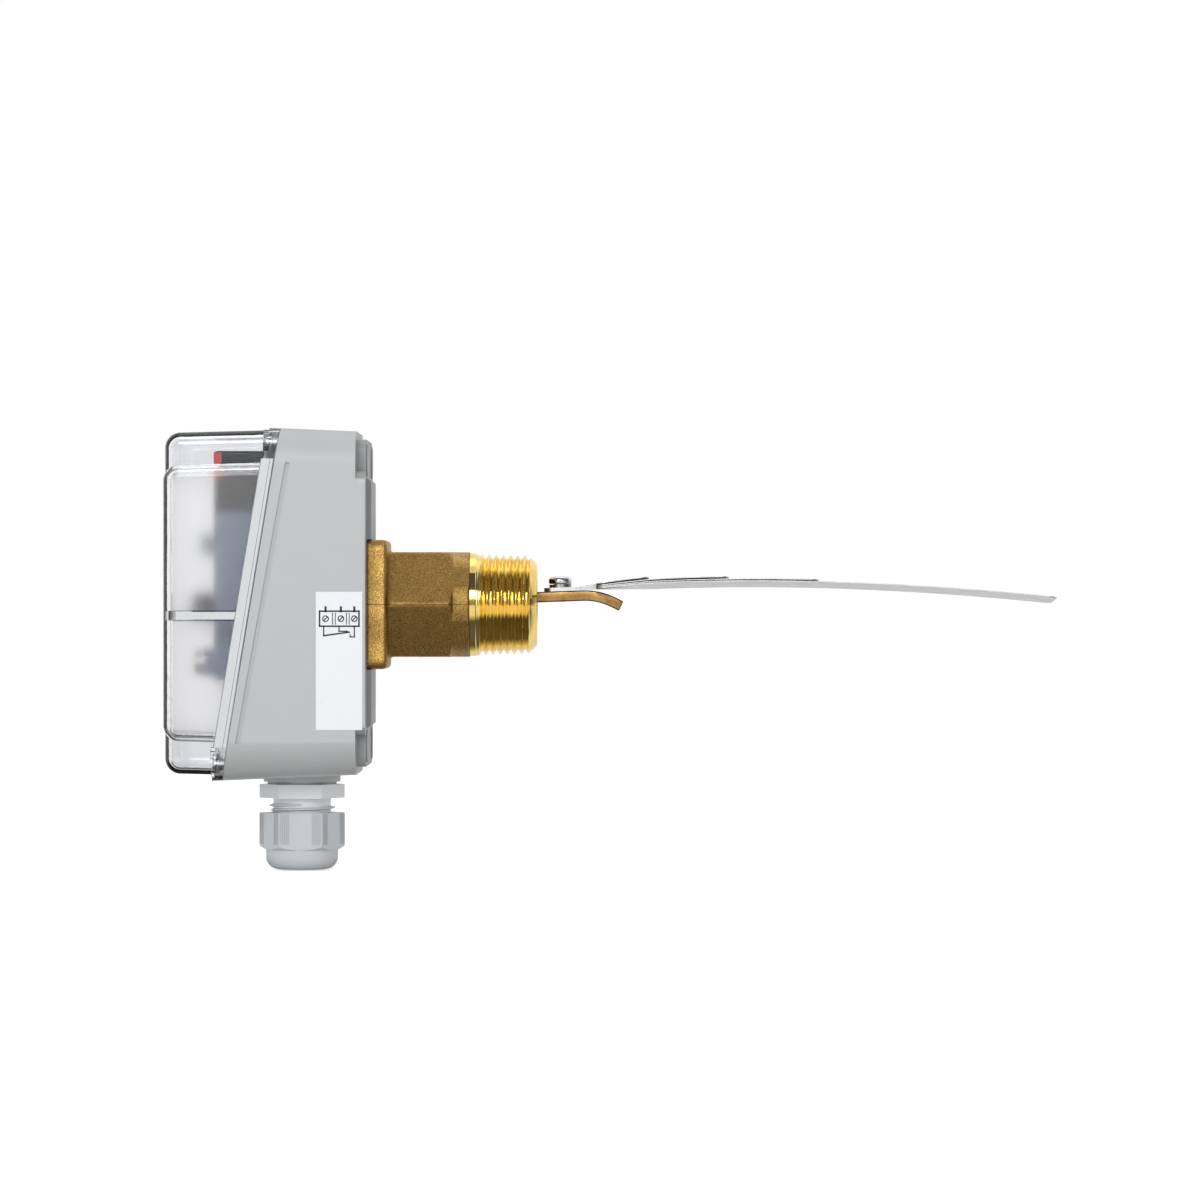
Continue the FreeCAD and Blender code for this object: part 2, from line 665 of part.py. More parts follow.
def make_gland_locknut():
    low = GLAND_INNER_Z
    nut = chamfered_hexagon(GLAND_LOCKNUT_AF, low, low + GLAND_LOCKNUT)
    return nut.cut(rod("z", GLAND, GLAND_THREAD_R + PLAY, low - 1, low + GLAND_LOCKNUT + 1))


# ---------------------------------------------------------------- brass body, pivot and bellows
def make_brass_body():
    flange = block((BACK_X, FLANGE_X), (-FLANGE_HALF_WIDTH, FLANGE_HALF_WIDTH),
                   (-FLANGE_HALF, FLANGE_HALF))
    flange = flange.makeFillet(FLANGE_CORNER_R, edges_where(flange, lambda e: runs_along(e, "x")))
    front = edges_where(flange, lambda edge: lies_at_x(edge, FLANGE_X))
    flange = flange.makeFillet(FLANGE_EDGE_R, front)
    hex_body = hexagon("x", (0, 0), HEX_AF, FLANGE_X - 1, 0)
    hex_body = hex_body.makeFillet(HEX_EDGE_R, edges_where(hex_body, lambda e: runs_along(e, "x")))
    corner_r = HEX_AF / math.sqrt(3)
    turn = turned([(BACK_X, 0), (BACK_X, corner_r), (-HEX_TURNED - HEX_RUNOUT, corner_r),
                   (-HEX_TURNED, HEX_TURNED_R), (0, HEX_TURNED_R), (0, 0)], "x", (0, 0))
    hex_body = hex_body.common(turn)
    along, inward = THREAD_CHAMFER
    thread = turned([(-1, 0), (-1, THREAD_R), (THREAD_LENGTH - along, THREAD_R),
                     (THREAD_LENGTH, THREAD_R - inward), (THREAD_LENGTH, 0)], "x", (0, 0))
    body = joined([flange, hex_body, thread])
    cuts = [rod("x", (0, 0), BODY_BORE_R, BACK_X - 1, THREAD_LENGTH + 1),
            rod("x", (0, 0), CARRIER_R, BACK_X - 1, CARRIER_END_X)]
    for place in body_screw_places():
        cuts.append(rod("x", place, M4_R, BACK_X - 1, BACK_X + BODY_SCREW_DEEP))
    return body.cut(cuts)


def make_body_seal():
    return tube("x", (0, 0), SEAL_R, BACK_X - SEAL_DEEP, BACK_X)


def make_body_screws():
    seat = POCKET_X - SHEET
    return group([headed_screw("x", place, M4_R, M4_HEAD, seat, BACK_X + BODY_SCREW_DEEP)
                  for place in body_screw_places()])


def make_bellows_carrier():
    outer = CARRIER_R
    lip_x = CARRIER_END_X - CARRIER_LIP
    ring = turned([(BACK_X, CARRIER_BORE_R), (BACK_X, outer), (CARRIER_END_X, outer),
                   (CARRIER_END_X, CARRIER_LIP_R), (lip_x, CARRIER_LIP_R),
                   (lip_x, CARRIER_BORE_R)], "x", (0, 0))
    return ring.cut(rod("y", (PIVOT_X, 0), PIN_R, -FAR, FAR))


def make_pivot_pin():
    half = math.sqrt(CARRIER_R ** 2 - PIN_R ** 2)
    return rod("y", (PIVOT_X, 0), PIN_R, -half, half)


def bar_solid(extra):
    """The lever's bar from the pivot to its bent tip, thicker all round by extra."""
    half = LEVER_THICK / 2 + extra
    bend = math.radians(LEVER_BEND)
    centre = V(LEVER_STRAIGHT, 0, -LEVER_BEND_R)

    def on_bend(radius, angle):
        return centre + V(radius * math.sin(angle), 0, radius * math.cos(angle))
    ahead = V(math.cos(bend), 0, -math.sin(bend)) * LEVER_TIP
    outer, inner = LEVER_BEND_R + half, LEVER_BEND_R - half
    top = [on_bend(outer, angle) for angle in (0, bend / 2, bend)]
    bottom = [on_bend(inner, angle) for angle in (0, bend / 2, bend)]
    start_top, start_bottom = V(0, 0, half), V(0, 0, -half)
    edges = [Part.LineSegment(start_top, top[0]), Part.Arc(*top),
             Part.LineSegment(top[2], top[2] + ahead),
             Part.LineSegment(top[2] + ahead, bottom[2] + ahead),
             Part.LineSegment(bottom[2] + ahead, bottom[2]), Part.Arc(*reversed(bottom)),
             Part.LineSegment(bottom[0], start_bottom), Part.LineSegment(start_bottom, start_top)]
    face = Part.Face(Part.Wire([edge.toShape() for edge in edges]))
    width = LEVER_WIDTH + 2 * extra
    face.translate(V(0, -width / 2, 0))
    bar = face.extrude(V(0, width, 0))
    bar.rotate(V(0, 0, 0), AXES["y"], -LEVER_TILT)
    bar.translate(V(PIVOT_X, 0, LEVER_RISE))
    return bar


def make_bellows():
    """Folded metal tube between the carrier's lip and a cap soldered round the lever."""
    low, high = BELLOWS_R
    length = BELLOWS_END_X - CARRIER_END_X
    step = length / (2 * BELLOWS_TURNS)
    outside = []
    for i in range(2 * BELLOWS_TURNS + 1):
        outside.append((CARRIER_END_X + i * step, high if i % 2 else low))
    inside = [(x, radius - BELLOWS_WALL) for x, radius in reversed(outside)]
    tube_wall = turned(outside + inside, "x", (0, 0))
    cap = rod("x", (0, 0), low, BELLOWS_END_X, BELLOWS_END_X + BELLOWS_CAP)
    return joined([tube_wall, cap]).cut(bar_solid(SOLDER))


# ---------------------------------------------------------------- lever and paddles
def clamp_frame(shape):
    """Moves a shape made round the clamp point of the bar's top to its tilted place."""
    shape.translate(V(CLAMP_REACH, 0, LEVER_THICK / 2))
    shape.rotate(V(0, 0, 0), AXES["y"], -LEVER_TILT)
    shape.translate(V(PIVOT_X, 0, LEVER_RISE))
    return shape


def make_lever():
    hub = rod("y", (PIVOT_X, 0), HUB_R, -HUB_HALF_WIDTH, HUB_HALF_WIDTH)
    low = -ARM_THICK / 2 - TAIL_THICK
    tail = block((PIVOT_X - TAIL_LENGTH, PIVOT_X), (-LEVER_WIDTH / 2, LEVER_WIDTH / 2),
                 (low, -ARM_THICK / 2))
    hole = clamp_frame(rod("z", (0, 0), M4_R, -2 * LEVER_THICK, LEVER_THICK))
    cuts = [rod("y", (PIVOT_X, 0), PIN_R + RUN, -FAR, FAR), hole,
            rod("z", (ARM_SCREW_X, 0), M3_R, low - 1, 0)]
    return joined([bar_solid(0), hub, tail]).cut(cuts)


def strip_height(u, lift, reach):
    """Height of a strip's underside over the clamp face at a distance past the clamp."""
    past = max(u - PADDLE_FLAT, 0.0)
    a, b, c = SPRING_CURVE
    flat_slope = math.tan(math.radians(LEVER_TILT))
    rise = (a - flat_slope) * past + b * past ** 2 + c * past ** 3
    share = past / (reach - PADDLE_FLAT)
    return rise + lift * (1.6 * share - 0.6 * share ** 3)


def make_paddle(reach, lift, level):
    """Spring strip: a narrow tongue under the screw that widens to the full blade."""
    bottom = level * PADDLE_THICK
    stations = [-TONGUE_BACK, PADDLE_FLAT]
    count = max(4, round(reach / 22))
    stations += [PADDLE_FLAT + (reach - PADDLE_FLAT) * (i + 1) / count for i in range(count)]
    under = [V(u, 0, bottom + strip_height(u, lift, reach)) for u in stations]
    over = [point + V(0, 0, PADDLE_THICK) for point in under]
    edges = []
    for points in (under, over):
        curve = Part.BSplineCurve()
        curve.interpolate(points[1:])
        edges.append(Part.LineSegment(points[0], points[1]).toShape())
        edges.append(curve.toShape())
    ends = [Part.LineSegment(under[i], over[i]).toShape() for i in (0, -1)]
    outline = Part.Wire(Part.__sortEdges__(edges + ends))
    face = Part.Face(outline)
    face.translate(V(0, -PADDLE_WIDTH / 2, 0))
    sheet = face.extrude(V(0, PADDLE_WIDTH, 0))
    plan = paddle_plan(reach)
    strip = sheet.common(plan)
    return clamp_frame(strip)


def paddle_plan(reach):
    """Upright prism over the strip's plan with rounded shoulders and tip."""
    low, high = -FAR / 4, FAR / 4
    blade = block((SHOULDER, reach), (-PADDLE_WIDTH / 2, PADDLE_WIDTH / 2), (low, high))
    upright = edges_where(blade, lambda edge: runs_along(edge, "z"))
    blade = blade.makeFillet(PADDLE_TIP_R, upright)
    tongue = block((-TONGUE_BACK, SHOULDER + 1), (-TONGUE_WIDTH / 2, TONGUE_WIDTH / 2), (low, high))
    back = edges_where(tongue, lambda e: runs_along(e, "z") and lies_at_x(e, -TONGUE_BACK))
    tongue = tongue.makeFillet(PADDLE_TIP_R, back)
    hole = rod("z", (0, 0), M4_R + PLAY, low - 1, high + 1)
    return joined([blade, tongue]).cut(hole)


def make_lock_washer():
    low = len(PADDLES) * PADDLE_THICK
    ring = tube("z", (0, 0), (M4_R + PLAY, WASHER_R), low, low + WASHER_THICK)
    return clamp_frame(ring)


def make_paddle_screw():
    seat = len(PADDLES) * PADDLE_THICK + WASHER_THICK
    screw = headed_screw("z", (0, 0), M4_R, CLAMP_HEAD, seat, -LEVER_THICK)
    return clamp_frame(screw)


# ---------------------------------------------------------------- switch arm
def swing_rise(x):
    """How far the arm rises at x over its whole swing."""
    return math.radians(LEVER_SWING) * (PIVOT_X - x)


def stop_span(margin):
    """The stop tongue's stretch along x, widened by a margin."""
    half = STOP_WIDTH / 2 + margin
    return PLUNGER_X - half, PLUNGER_X + half


def make_switch_arm():
    half = ARM_THICK / 2
    level = (-half, half)
    strip = block((BRACKET_FRONT_X - ARM_OVERHANG, PIVOT_X - ARM_START),
                  (-ARM_WIDTH / 2, ARM_WIDTH / 2), level)
    wing = block(WING_X, WING_Y, level)
    tongue = block(stop_span(0), (WING_Y[1] - 1, BRACKET_HALF_WIDTH + STOP_REACH), level)
    leg = block((LEG_X - ARM_THICK, LEG_X), (RANGE_Y - LEG_HALF_WIDTH, RANGE_Y + LEG_HALF_WIDTH),
                (-half, LEG_TOP))
    top = edges_where(leg, lambda e: runs_along(e, "x") and e.BoundBox.ZMin > LEG_TOP - 1)
    leg = leg.makeFillet(LEG_ROUND, top)
    slot_low = RANGE_Z - M4_R - swing_rise(LEG_X) - FREE
    slot_high = RANGE_Z + M4_R + FREE
    slot_half = M4_R + FREE
    slot = block((LEG_X - ARM_THICK - 1, LEG_X + 1), (RANGE_Y - slot_half, RANGE_Y + slot_half),
                 (slot_low, slot_high))
    screw_hole = rod("z", (ARM_SCREW_X, 0), M3_R, -half - 1, half + 1)
    return joined([strip, wing, tongue, leg]).cut([slot, screw_hole])


def make_arm_screw():
    top = ARM_THICK / 2
    return headed_screw("z", (ARM_SCREW_X, 0), M3_R, M3_HEAD, top, -top - TAIL_THICK)


def make_finger_pad():
    half = FINGER_PAD_HALF_WIDTH
    front_x, back_x = (BRACKET_FRONT_X - reach for reach in FINGER_PAD)
    pad = block((front_x, back_x), (-half, half), FINGER_PAD_Z)
    front = edges_where(pad, lambda edge: lies_at_x(edge, front_x))
    pad = pad.makeFillet(FINGER_PAD_ROUND, front)
    slot = block((BRACKET_FRONT_X - ARM_OVERHANG, 0), (-ARM_WIDTH / 2, ARM_WIDTH / 2),
                 (-ARM_THICK / 2, ARM_THICK / 2))
    return pad.cut(slot)


# ---------------------------------------------------------------- bracket and range adjustment
def make_bracket():
    low, high = BRACKET_LOW, BRACKET_HIGH
    width = (-BRACKET_HALF_WIDTH, BRACKET_HALF_WIDTH)
    outer = block((BRACKET_FRONT_X, POCKET_X), width, (low, high))
    back = edges_where(outer, lambda e: runs_along(e, "z") and lies_at_x(e, POCKET_X))
    outer = outer.makeFillet(BRACKET_BEND_R, back)
    inner = block((BRACKET_FRONT_X - 1, POCKET_X - SHEET), (-CHEEK_IN, CHEEK_IN), (low - 1, high + 1))
    back = edges_where(inner, lambda e: runs_along(e, "z") and lies_at_x(e, POCKET_X - SHEET))
    inner = inner.makeFillet(BRACKET_BEND_R - SHEET, back)
    channel = outer.cut(inner)
    plate = (BRACKET_FRONT_X, BRACKET_FRONT_X + SHEET)
    bridge = block(plate, (-CHEEK_IN - SHEET / 2, CHEEK_IN + SHEET / 2),
                   (RANGE_Z - BRIDGE / 2, RANGE_Z + BRIDGE / 2))
    tab_width, tab_height = EARTH_TAB
    earth_tab = block(plate, (-BRACKET_HALF_WIDTH, tab_width - BRACKET_HALF_WIDTH),
                      (low, low + tab_height))
    parts = [channel, bridge, earth_tab]
    tab_length, tab_reach = TOP_TAB
    for side in (-1, 1):
        across = sorted((side * (BRACKET_HALF_WIDTH - tab_reach), side * (CHEEK_IN + SHEET / 2)))
        parts.append(block((BLOCK_BACK_X - tab_length, BLOCK_BACK_X), across, (high - SHEET, high)))
    cuts = [rod("x", (0, 0), PASS_R, POCKET_X - SHEET - 1, POCKET_X + 1),
            rod("x", (RANGE_Y, RANGE_Z), M4_R + RUN, plate[0] - 1, plate[1] + 1),
            rod("x", (EARTH_Y, EARTH_Z), M4_R, plate[0] - 1, plate[1] + 1)]
    for place in body_screw_places():
        cuts.append(rod("x", place, M4_R + PLAY, POCKET_X - SHEET - 1, POCKET_X + 1))
    for place in SWITCH_SCREWS:
        cuts.append(rod("y", place, M3_R, -BRACKET_HALF_WIDTH - 1, -CHEEK_IN + 1))
    for side in (-1, 1):
        centre = (BLOCK_SCREW_X, side * BLOCK_SCREW_Y)
        cuts.append(rod("z", centre, M3_R, high - SHEET - 1, high + 1))
    far_cheek = (CHEEK_IN - 1, BRACKET_HALF_WIDTH + 1)
    window = stop_span(2 * FREE)
    cuts.append(block(window, far_cheek, (-ARM_THICK / 2, ARM_THICK / 2 + swing_rise(window[0]))))
    slack, tight = RANGE_TRAVEL
    cuts.append(block((RANGE_NUT_X[0] - tight - FREE, RANGE_NUT_X[1] + slack + FREE), far_cheek,
                      (RANGE_Z - POINTER_HALF - RUN, RANGE_Z + POINTER_HALF + RUN)))
    return joined(parts).cut(cuts)


def make_range_screw():
    head_r, head_h = RANGE_HEAD
    end = RANGE_NUT_X[1] + RANGE_TRAVEL[0] + RANGE_END
    screw = headed_screw("x", (RANGE_Y, RANGE_Z), M4_R, RANGE_HEAD, BRACKET_FRONT_X, end)
    front = BRACKET_FRONT_X - head_h
    width, deep = RANGE_SLOT
    slot = block((front - 1, front + deep), (RANGE_Y - width / 2, RANGE_Y + width / 2),
                 (RANGE_Z - head_r, RANGE_Z + head_r))
    return screw.cut(slot)


def make_spring_nut():
    half = RANGE_NUT_HALF
    nut = block(RANGE_NUT_X, (RANGE_Y - half, RANGE_Y + half), (RANGE_Z - half, RANGE_Z + half))
    nut = nut.makeFillet(RANGE_NUT_ROUND, edges_where(nut, lambda edge: runs_along(edge, "x")))
    pointer = block(RANGE_NUT_X, (RANGE_Y + half - 1, BRACKET_HALF_WIDTH + POINTER_REACH),
                    (RANGE_Z - POINTER_HALF, RANGE_Z + POINTER_HALF))
    bore = rod("x", (RANGE_Y, RANGE_Z), M4_R + RUN, RANGE_NUT_X[0] - 1, RANGE_NUT_X[1] + 1)
    return joined([nut, pointer]).cut(bore)


def make_range_spring():
    length = SPRING_LENGTH - 2 * SPRING_WIRE_R
    helix = Part.makeHelix(length / SPRING_TURNS, length, SPRING_R)
    start = V(SPRING_R, 0, 0)
    circle = Part.Wire([Part.makeCircle(SPRING_WIRE_R, start, V(0, 1, 0))])
    spring = Part.Wire(helix).makePipeShell([circle], True, True)
    spring.rotate(V(0, 0, 0), AXES["y"], 90)
    spring.translate(V(LEG_X + SPRING_WIRE_R, RANGE_Y, RANGE_Z))
    return spring


# ---------------------------------------------------------------- microswitch
def make_microswitch():
    body = block(SWITCH_X, SWITCH_Y, SWITCH_Z)
    body = body.makeFillet(0.8, edges_where(body, lambda edge: runs_along(edge, "y")))
    collar_r, collar_h = PLUNGER_COLLAR
    place = (PLUNGER_X, PLUNGER_Y)
    collar_low = SWITCH_Z[0] - collar_h
    collar = rod("z", place, collar_r, collar_low, SWITCH_Z[0] + 1)
    top = PLUNGER_FOOT + PLUNGER_STEM + swing_rise(PLUNGER_X) + FREE
    cuts = [rod("z", place, PLUNGER_R + RUN, collar_low - 1, top)]
    for hole in SWITCH_SCREWS:
        cuts.append(rod("y", hole, M3_R, SWITCH_Y[0] - 1, SWITCH_Y[1] + 1))
    return joined([body, collar]).cut(cuts)


def make_switch_plunger():
    stem = rod("z", (PLUNGER_X, PLUNGER_Y), PLUNGER_R, PLUNGER_FOOT, PLUNGER_FOOT + PLUNGER_STEM)
    lowest = edges_where(stem, lambda edge: edge.BoundBox.ZMax < PLUNGER_FOOT + 1e-6)
    return stem.makeFillet(0.8 * PLUNGER_R, lowest)


def make_switch_screws():
    seat = SWITCH_Y[1]
    return group([headed_screw("y", place, M3_R, M3_HEAD, seat, -BRACKET_HALF_WIDTH)
                  for place in SWITCH_SCREWS])


def contact_strip(x, extra):
    half, thick = STRIP_WIDTH / 2 + extra, STRIP_THICK / 2 + extra
    return block((x - half, x + half), (PLUNGER_Y - thick, PLUNGER_Y + thick),
                 (SWITCH_Z[1], BRACKET_HIGH + STRIP_ENTRY + extra))


def make_contact_strips():
    return group([contact_strip(SWITCH_X[0] + reach, 0) for reach in STRIPS])


# ---------------------------------------------------------------- terminal block
def make_terminal_block():
    low = BRACKET_HIGH
    body = block((BRACKET_FRONT_X, BLOCK_BACK_X), (-BRACKET_HALF_WIDTH, BRACKET_HALF_WIDTH),
                 (low, BLOCK_TOP))
    upper = edges_where(body, lambda edge: edge.BoundBox.ZMin > BLOCK_TOP - 1e-6)
    body = body.makeFillet(BLOCK_EDGE_R, upper)
    half = WAY_WIDTH / 2
    cuts = [contact_strip(SWITCH_X[0] + reach, PLAY) for reach in STRIPS]
    for y, _ in WAYS:
        across = (y - half, y + half)
        cuts.append(block((BRACKET_FRONT_X - 1, WELL_X), across, (low - 1, WELL_TOP)))
        cuts.append(block((BRACKET_FRONT_X - 1, BRACKET_FRONT_X + MARKER_THICK), across,
                          (WELL_TOP - 1, BLOCK_TOP + 1)))
        cuts.append(rod("x", (y, TERMINAL_Z), TERMINAL_SCREW_R, WELL_X - 1,
                        WELL_X + TERMINAL_REACH + FREE))
    for side in (-1, 1):
        centre = (BLOCK_SCREW_X, side * BLOCK_SCREW_Y)
        cuts.append(rod("z", centre, M3_R + PLAY, low - 1, BLOCK_TOP + 1))
        cuts.append(rod("z", centre, M3_HEAD[0] + PLAY, low + BLOCK_SCREW_SEAT, BLOCK_TOP + 1))
    return body.cut(cuts)


def make_block_screws():
    seat, end = BRACKET_HIGH + BLOCK_SCREW_SEAT, BRACKET_HIGH - SHEET
    return group([headed_screw("z", (BLOCK_SCREW_X, side * BLOCK_SCREW_Y), M3_R, M3_HEAD, seat, end)
                  for side in (-1, 1)])


def make_marker(y):
    half = WAY_WIDTH / 2
    plate = block((BRACKET_FRONT_X, BRACKET_FRONT_X + MARKER_THICK), (y - half, y + half),
                  (WELL_TOP, BLOCK_TOP))
    top = edges_where(plate, lambda e: runs_along(e, "y") and e.BoundBox.ZMin > BLOCK_TOP - 1e-6
                      and lies_at_x(e, BRACKET_FRONT_X))
    return plate.makeFillet(BLOCK_EDGE_R, top)


def make_terminal_plates():
    plates = []
    across, up = PLATE_INSET
    half = WAY_WIDTH / 2 - across
    for y, _ in WAYS:
        plate = block((WELL_X - PLATE_THICK, WELL_X), (y - half, y + half),
                      (BRACKET_HIGH + up, WELL_TOP - up))
        plates.append(plate.cut(rod("x", (y, TERMINAL_Z), TERMINAL_SCREW_R + PLAY, -FAR, 0)))
    return group(plates)


def make_terminal_clamps():
    front = WELL_X - 2 * PLATE_THICK
    clamps = []
    for y, _ in WAYS:
        clamp = block((front, front + PLATE_THICK), (y - CLAMP_HALF, y + CLAMP_HALF),
                      (TERMINAL_Z - CLAMP_HALF, TERMINAL_Z + CLAMP_HALF))
        clamps.append(clamp.cut(rod("x", (y, TERMINAL_Z), TERMINAL_SCREW_R + PLAY, -FAR, 0)))
    return group(clamps)


def make_terminal_screws():
    seat = WELL_X - 2 * PLATE_THICK
    return group([headed_screw("x", (y, TERMINAL_Z), TERMINAL_SCREW_R, TERMINAL_HEAD, seat,
                               WELL_X + TERMINAL_REACH) for y, _ in WAYS])


def make_earth_clamp():
    half, height = EARTH_CLAMP
    clamp = block((BRACKET_FRONT_X - height, BRACKET_FRONT_X), (EARTH_Y - half, EARTH_Y + half),
                  (EARTH_Z - half, EARTH_Z + half))
    channel = block((BRACKET_FRONT_X - height + PLATE_THICK, BRACKET_FRONT_X + 1),
                    (EARTH_Y - half + PLATE_THICK, EARTH_Y + half - PLATE_THICK), (-FAR, FAR))
    hub = rod("x", (EARTH_Y, EARTH_Z), M4_R + 1.0, BRACKET_FRONT_X - height, BRACKET_FRONT_X)
    hole = rod("x", (EARTH_Y, EARTH_Z), M4_R + PLAY, -FAR, 0)
    return joined([clamp.cut(channel), hub]).cut(hole)


def make_earth_screw():
    seat = BRACKET_FRONT_X - EARTH_CLAMP[1]
    return headed_screw("x", (EARTH_Y, EARTH_Z), M4_R, EARTH_HEAD, seat,
                        BRACKET_FRONT_X + EARTH_SCREW_REACH)


# ---------------------------------------------------------------- all nodes
def build():
    nodes = {
        "housing_base": make_housing_base(),
        "clear_cover": make_clear_cover(),
        "cover_gasket": make_cover_gasket(),
        "cover_screws": make_cover_screws(),
        "type_label": make_type_label(),
        "gland_washer": make_gland_washer(),
        "gland_body": make_gland_body(),
        "gland_seal": make_gland_seal(),
        "gland_nut": make_gland_nut(),
        "gland_locknut": make_gland_locknut(),
        "brass_body": make_brass_body(),
        "body_seal": make_body_seal(),
        "body_screws": make_body_screws(),
        "bellows_carrier": make_bellows_carrier(),
        "bellows": make_bellows(),
        "pivot_pin": make_pivot_pin(),
        "lever": make_lever(),
        "paddle_screw": make_paddle_screw(),
        "lock_washer": make_lock_washer(),
        "switch_arm": make_switch_arm(),
        "arm_screw": make_arm_screw(),
        "finger_pad": make_finger_pad(),
        "bracket": make_bracket(),
        "range_screw": make_range_screw(),
        "spring_nut": make_spring_nut(),
        "range_spring": make_range_spring(),
        "microswitch": make_microswitch(),
        "switch_plunger": make_switch_plunger(),
        "switch_screws": make_switch_screws(),
        "contact_strips": make_contact_strips(),
        "terminal_block": make_terminal_block(),
        "block_screws": make_block_screws(),
        "terminal_plates": make_terminal_plates(),
        "terminal_clamps": make_terminal_clamps(),
        "terminal_screws": make_terminal_screws(),
        "earth_clamp": make_earth_clamp(),
        "earth_screw": make_earth_screw(),
    }
    for level, (name, (reach, lift)) in enumerate(PADDLES.items()):
        nodes[name] = make_paddle(reach, lift, level)
    for y, name in WAYS:
        nodes[name] = make_marker(y)
    return nodes


os.makedirs("parts", exist_ok=True)
for node, shape in build().items():
    solids = shape.Solids
    if not solids or not shape.isValid():
        raise RuntimeError("bad shape: " + node)
    single = solids[0] if len(solids) == 1 else Part.makeCompound(solids)
    single.exportStep("parts/" + node + ".step")
    print(node, len(solids), round(single.Volume, 1))
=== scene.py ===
"""Looks of the paddle flow switch: finishes, fine shapes, camera and light.

Metres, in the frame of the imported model: +X from the housing to the paddle tip, +Z up, the
origin on the thread axis where the hexagon ends.
"""
import math

import bmesh
import bpy
import numpy as np
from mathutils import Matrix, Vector


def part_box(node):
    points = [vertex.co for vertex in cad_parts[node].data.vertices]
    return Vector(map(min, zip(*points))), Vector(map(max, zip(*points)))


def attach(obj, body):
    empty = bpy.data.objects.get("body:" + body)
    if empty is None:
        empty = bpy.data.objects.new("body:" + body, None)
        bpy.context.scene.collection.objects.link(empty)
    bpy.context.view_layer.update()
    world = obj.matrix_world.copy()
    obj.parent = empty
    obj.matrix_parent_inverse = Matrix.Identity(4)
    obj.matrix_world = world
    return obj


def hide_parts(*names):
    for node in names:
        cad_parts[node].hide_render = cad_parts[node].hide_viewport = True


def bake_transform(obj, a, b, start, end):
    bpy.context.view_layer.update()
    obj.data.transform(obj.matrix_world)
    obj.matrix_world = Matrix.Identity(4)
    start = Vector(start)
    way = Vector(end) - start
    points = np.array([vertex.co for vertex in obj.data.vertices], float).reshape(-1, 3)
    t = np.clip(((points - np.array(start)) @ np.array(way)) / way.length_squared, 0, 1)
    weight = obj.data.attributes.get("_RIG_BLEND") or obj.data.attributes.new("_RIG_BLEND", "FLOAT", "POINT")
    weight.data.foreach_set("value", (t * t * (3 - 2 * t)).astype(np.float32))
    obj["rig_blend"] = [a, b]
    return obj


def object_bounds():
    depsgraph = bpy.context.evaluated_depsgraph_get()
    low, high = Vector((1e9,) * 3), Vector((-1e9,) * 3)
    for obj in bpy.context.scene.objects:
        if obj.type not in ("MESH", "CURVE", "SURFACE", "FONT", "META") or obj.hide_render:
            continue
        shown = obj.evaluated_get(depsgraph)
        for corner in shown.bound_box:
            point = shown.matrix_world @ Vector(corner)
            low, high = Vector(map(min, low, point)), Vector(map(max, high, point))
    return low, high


MM = 0.001
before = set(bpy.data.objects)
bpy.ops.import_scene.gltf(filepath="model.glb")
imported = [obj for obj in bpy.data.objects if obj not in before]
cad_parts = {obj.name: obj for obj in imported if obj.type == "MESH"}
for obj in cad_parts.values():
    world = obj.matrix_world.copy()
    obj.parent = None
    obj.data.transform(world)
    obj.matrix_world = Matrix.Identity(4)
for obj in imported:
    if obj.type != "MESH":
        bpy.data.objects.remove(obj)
solid_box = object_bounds()


def edge(node, side, axis):
    """Lowest (side 0) or highest (side 1) coordinate of a solid along an axis, millimetres."""
    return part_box(node)[side][axis] / MM


# Places and sizes, millimetres
BACK_X = edge("brass_body", 0, 0)         # back face of the housing, under the flange
FLANGE_X = BACK_X + 6.6
SEAM_X = BACK_X - 36.6                    # plane between cover and base, on the thread axis
SEAM_LEAN = math.tan(math.radians(9.36))
HALF_WIDTH = 35.0
RIM_BAND = 2.4                            # ahead of the seam, where the cover's rim ends
RIB_LOW, RIB_HIGH = -5.1, -2.0            # rib on each side of the cover
TURNED_X = -5.4                           # turned end of the hexagon, beside the thread
BODY_BORE_R = 11.5
CARRIER_SEAT = 16.0, 13.0                 # recess for the bellows' carrier: depth from the back, radius


# ---------------------------------------------------------------- materials: helpers
def paint(red, green, blue):
    """A display colour, 0 to 255, as the shader reads it."""
    def linear(value):
        share = value / 255
        return share / 12.92 if share <= 0.04045 else ((share + 0.055) / 1.055) ** 2.4
    return linear(red), linear(green), linear(blue), 1.0


def add(tree, kind, **inputs):
    """Add a node; keywords name its input sockets, with _ for a space."""
    node = tree.nodes.new("ShaderNode" + kind)
    for label, value in inputs.items():
        socket = node.inputs[label.replace("_", " ")]
        if isinstance(value, bpy.types.NodeSocket):
            tree.links.new(value, socket)
        else:
            socket.default_value = value
    return node


def math_node(tree, operation, *values):
    node = tree.nodes.new("ShaderNodeMath")
    node.operation = operation
    for socket, value in zip(node.inputs, values):
        if isinstance(value, bpy.types.NodeSocket):
            tree.links.new(value, socket)
        else:
            socket.default_value = value
    return node.outputs["Value"]


def ramp(tree, factor, stops):
    """Colour ramp; each stop is (position, colour)."""
    node = tree.nodes.new("ShaderNodeValToRGB")
    elements = node.color_ramp.elements
    while len(elements) < len(stops):
        elements.new(0.5)
    for element, (position, colour) in zip(elements, stops):
        element.position = position
        element.color = colour
    tree.links.new(factor, node.inputs["Fac"])
    return node.outputs["Color"]


def grey(value):
    return value, value, value, 1.0


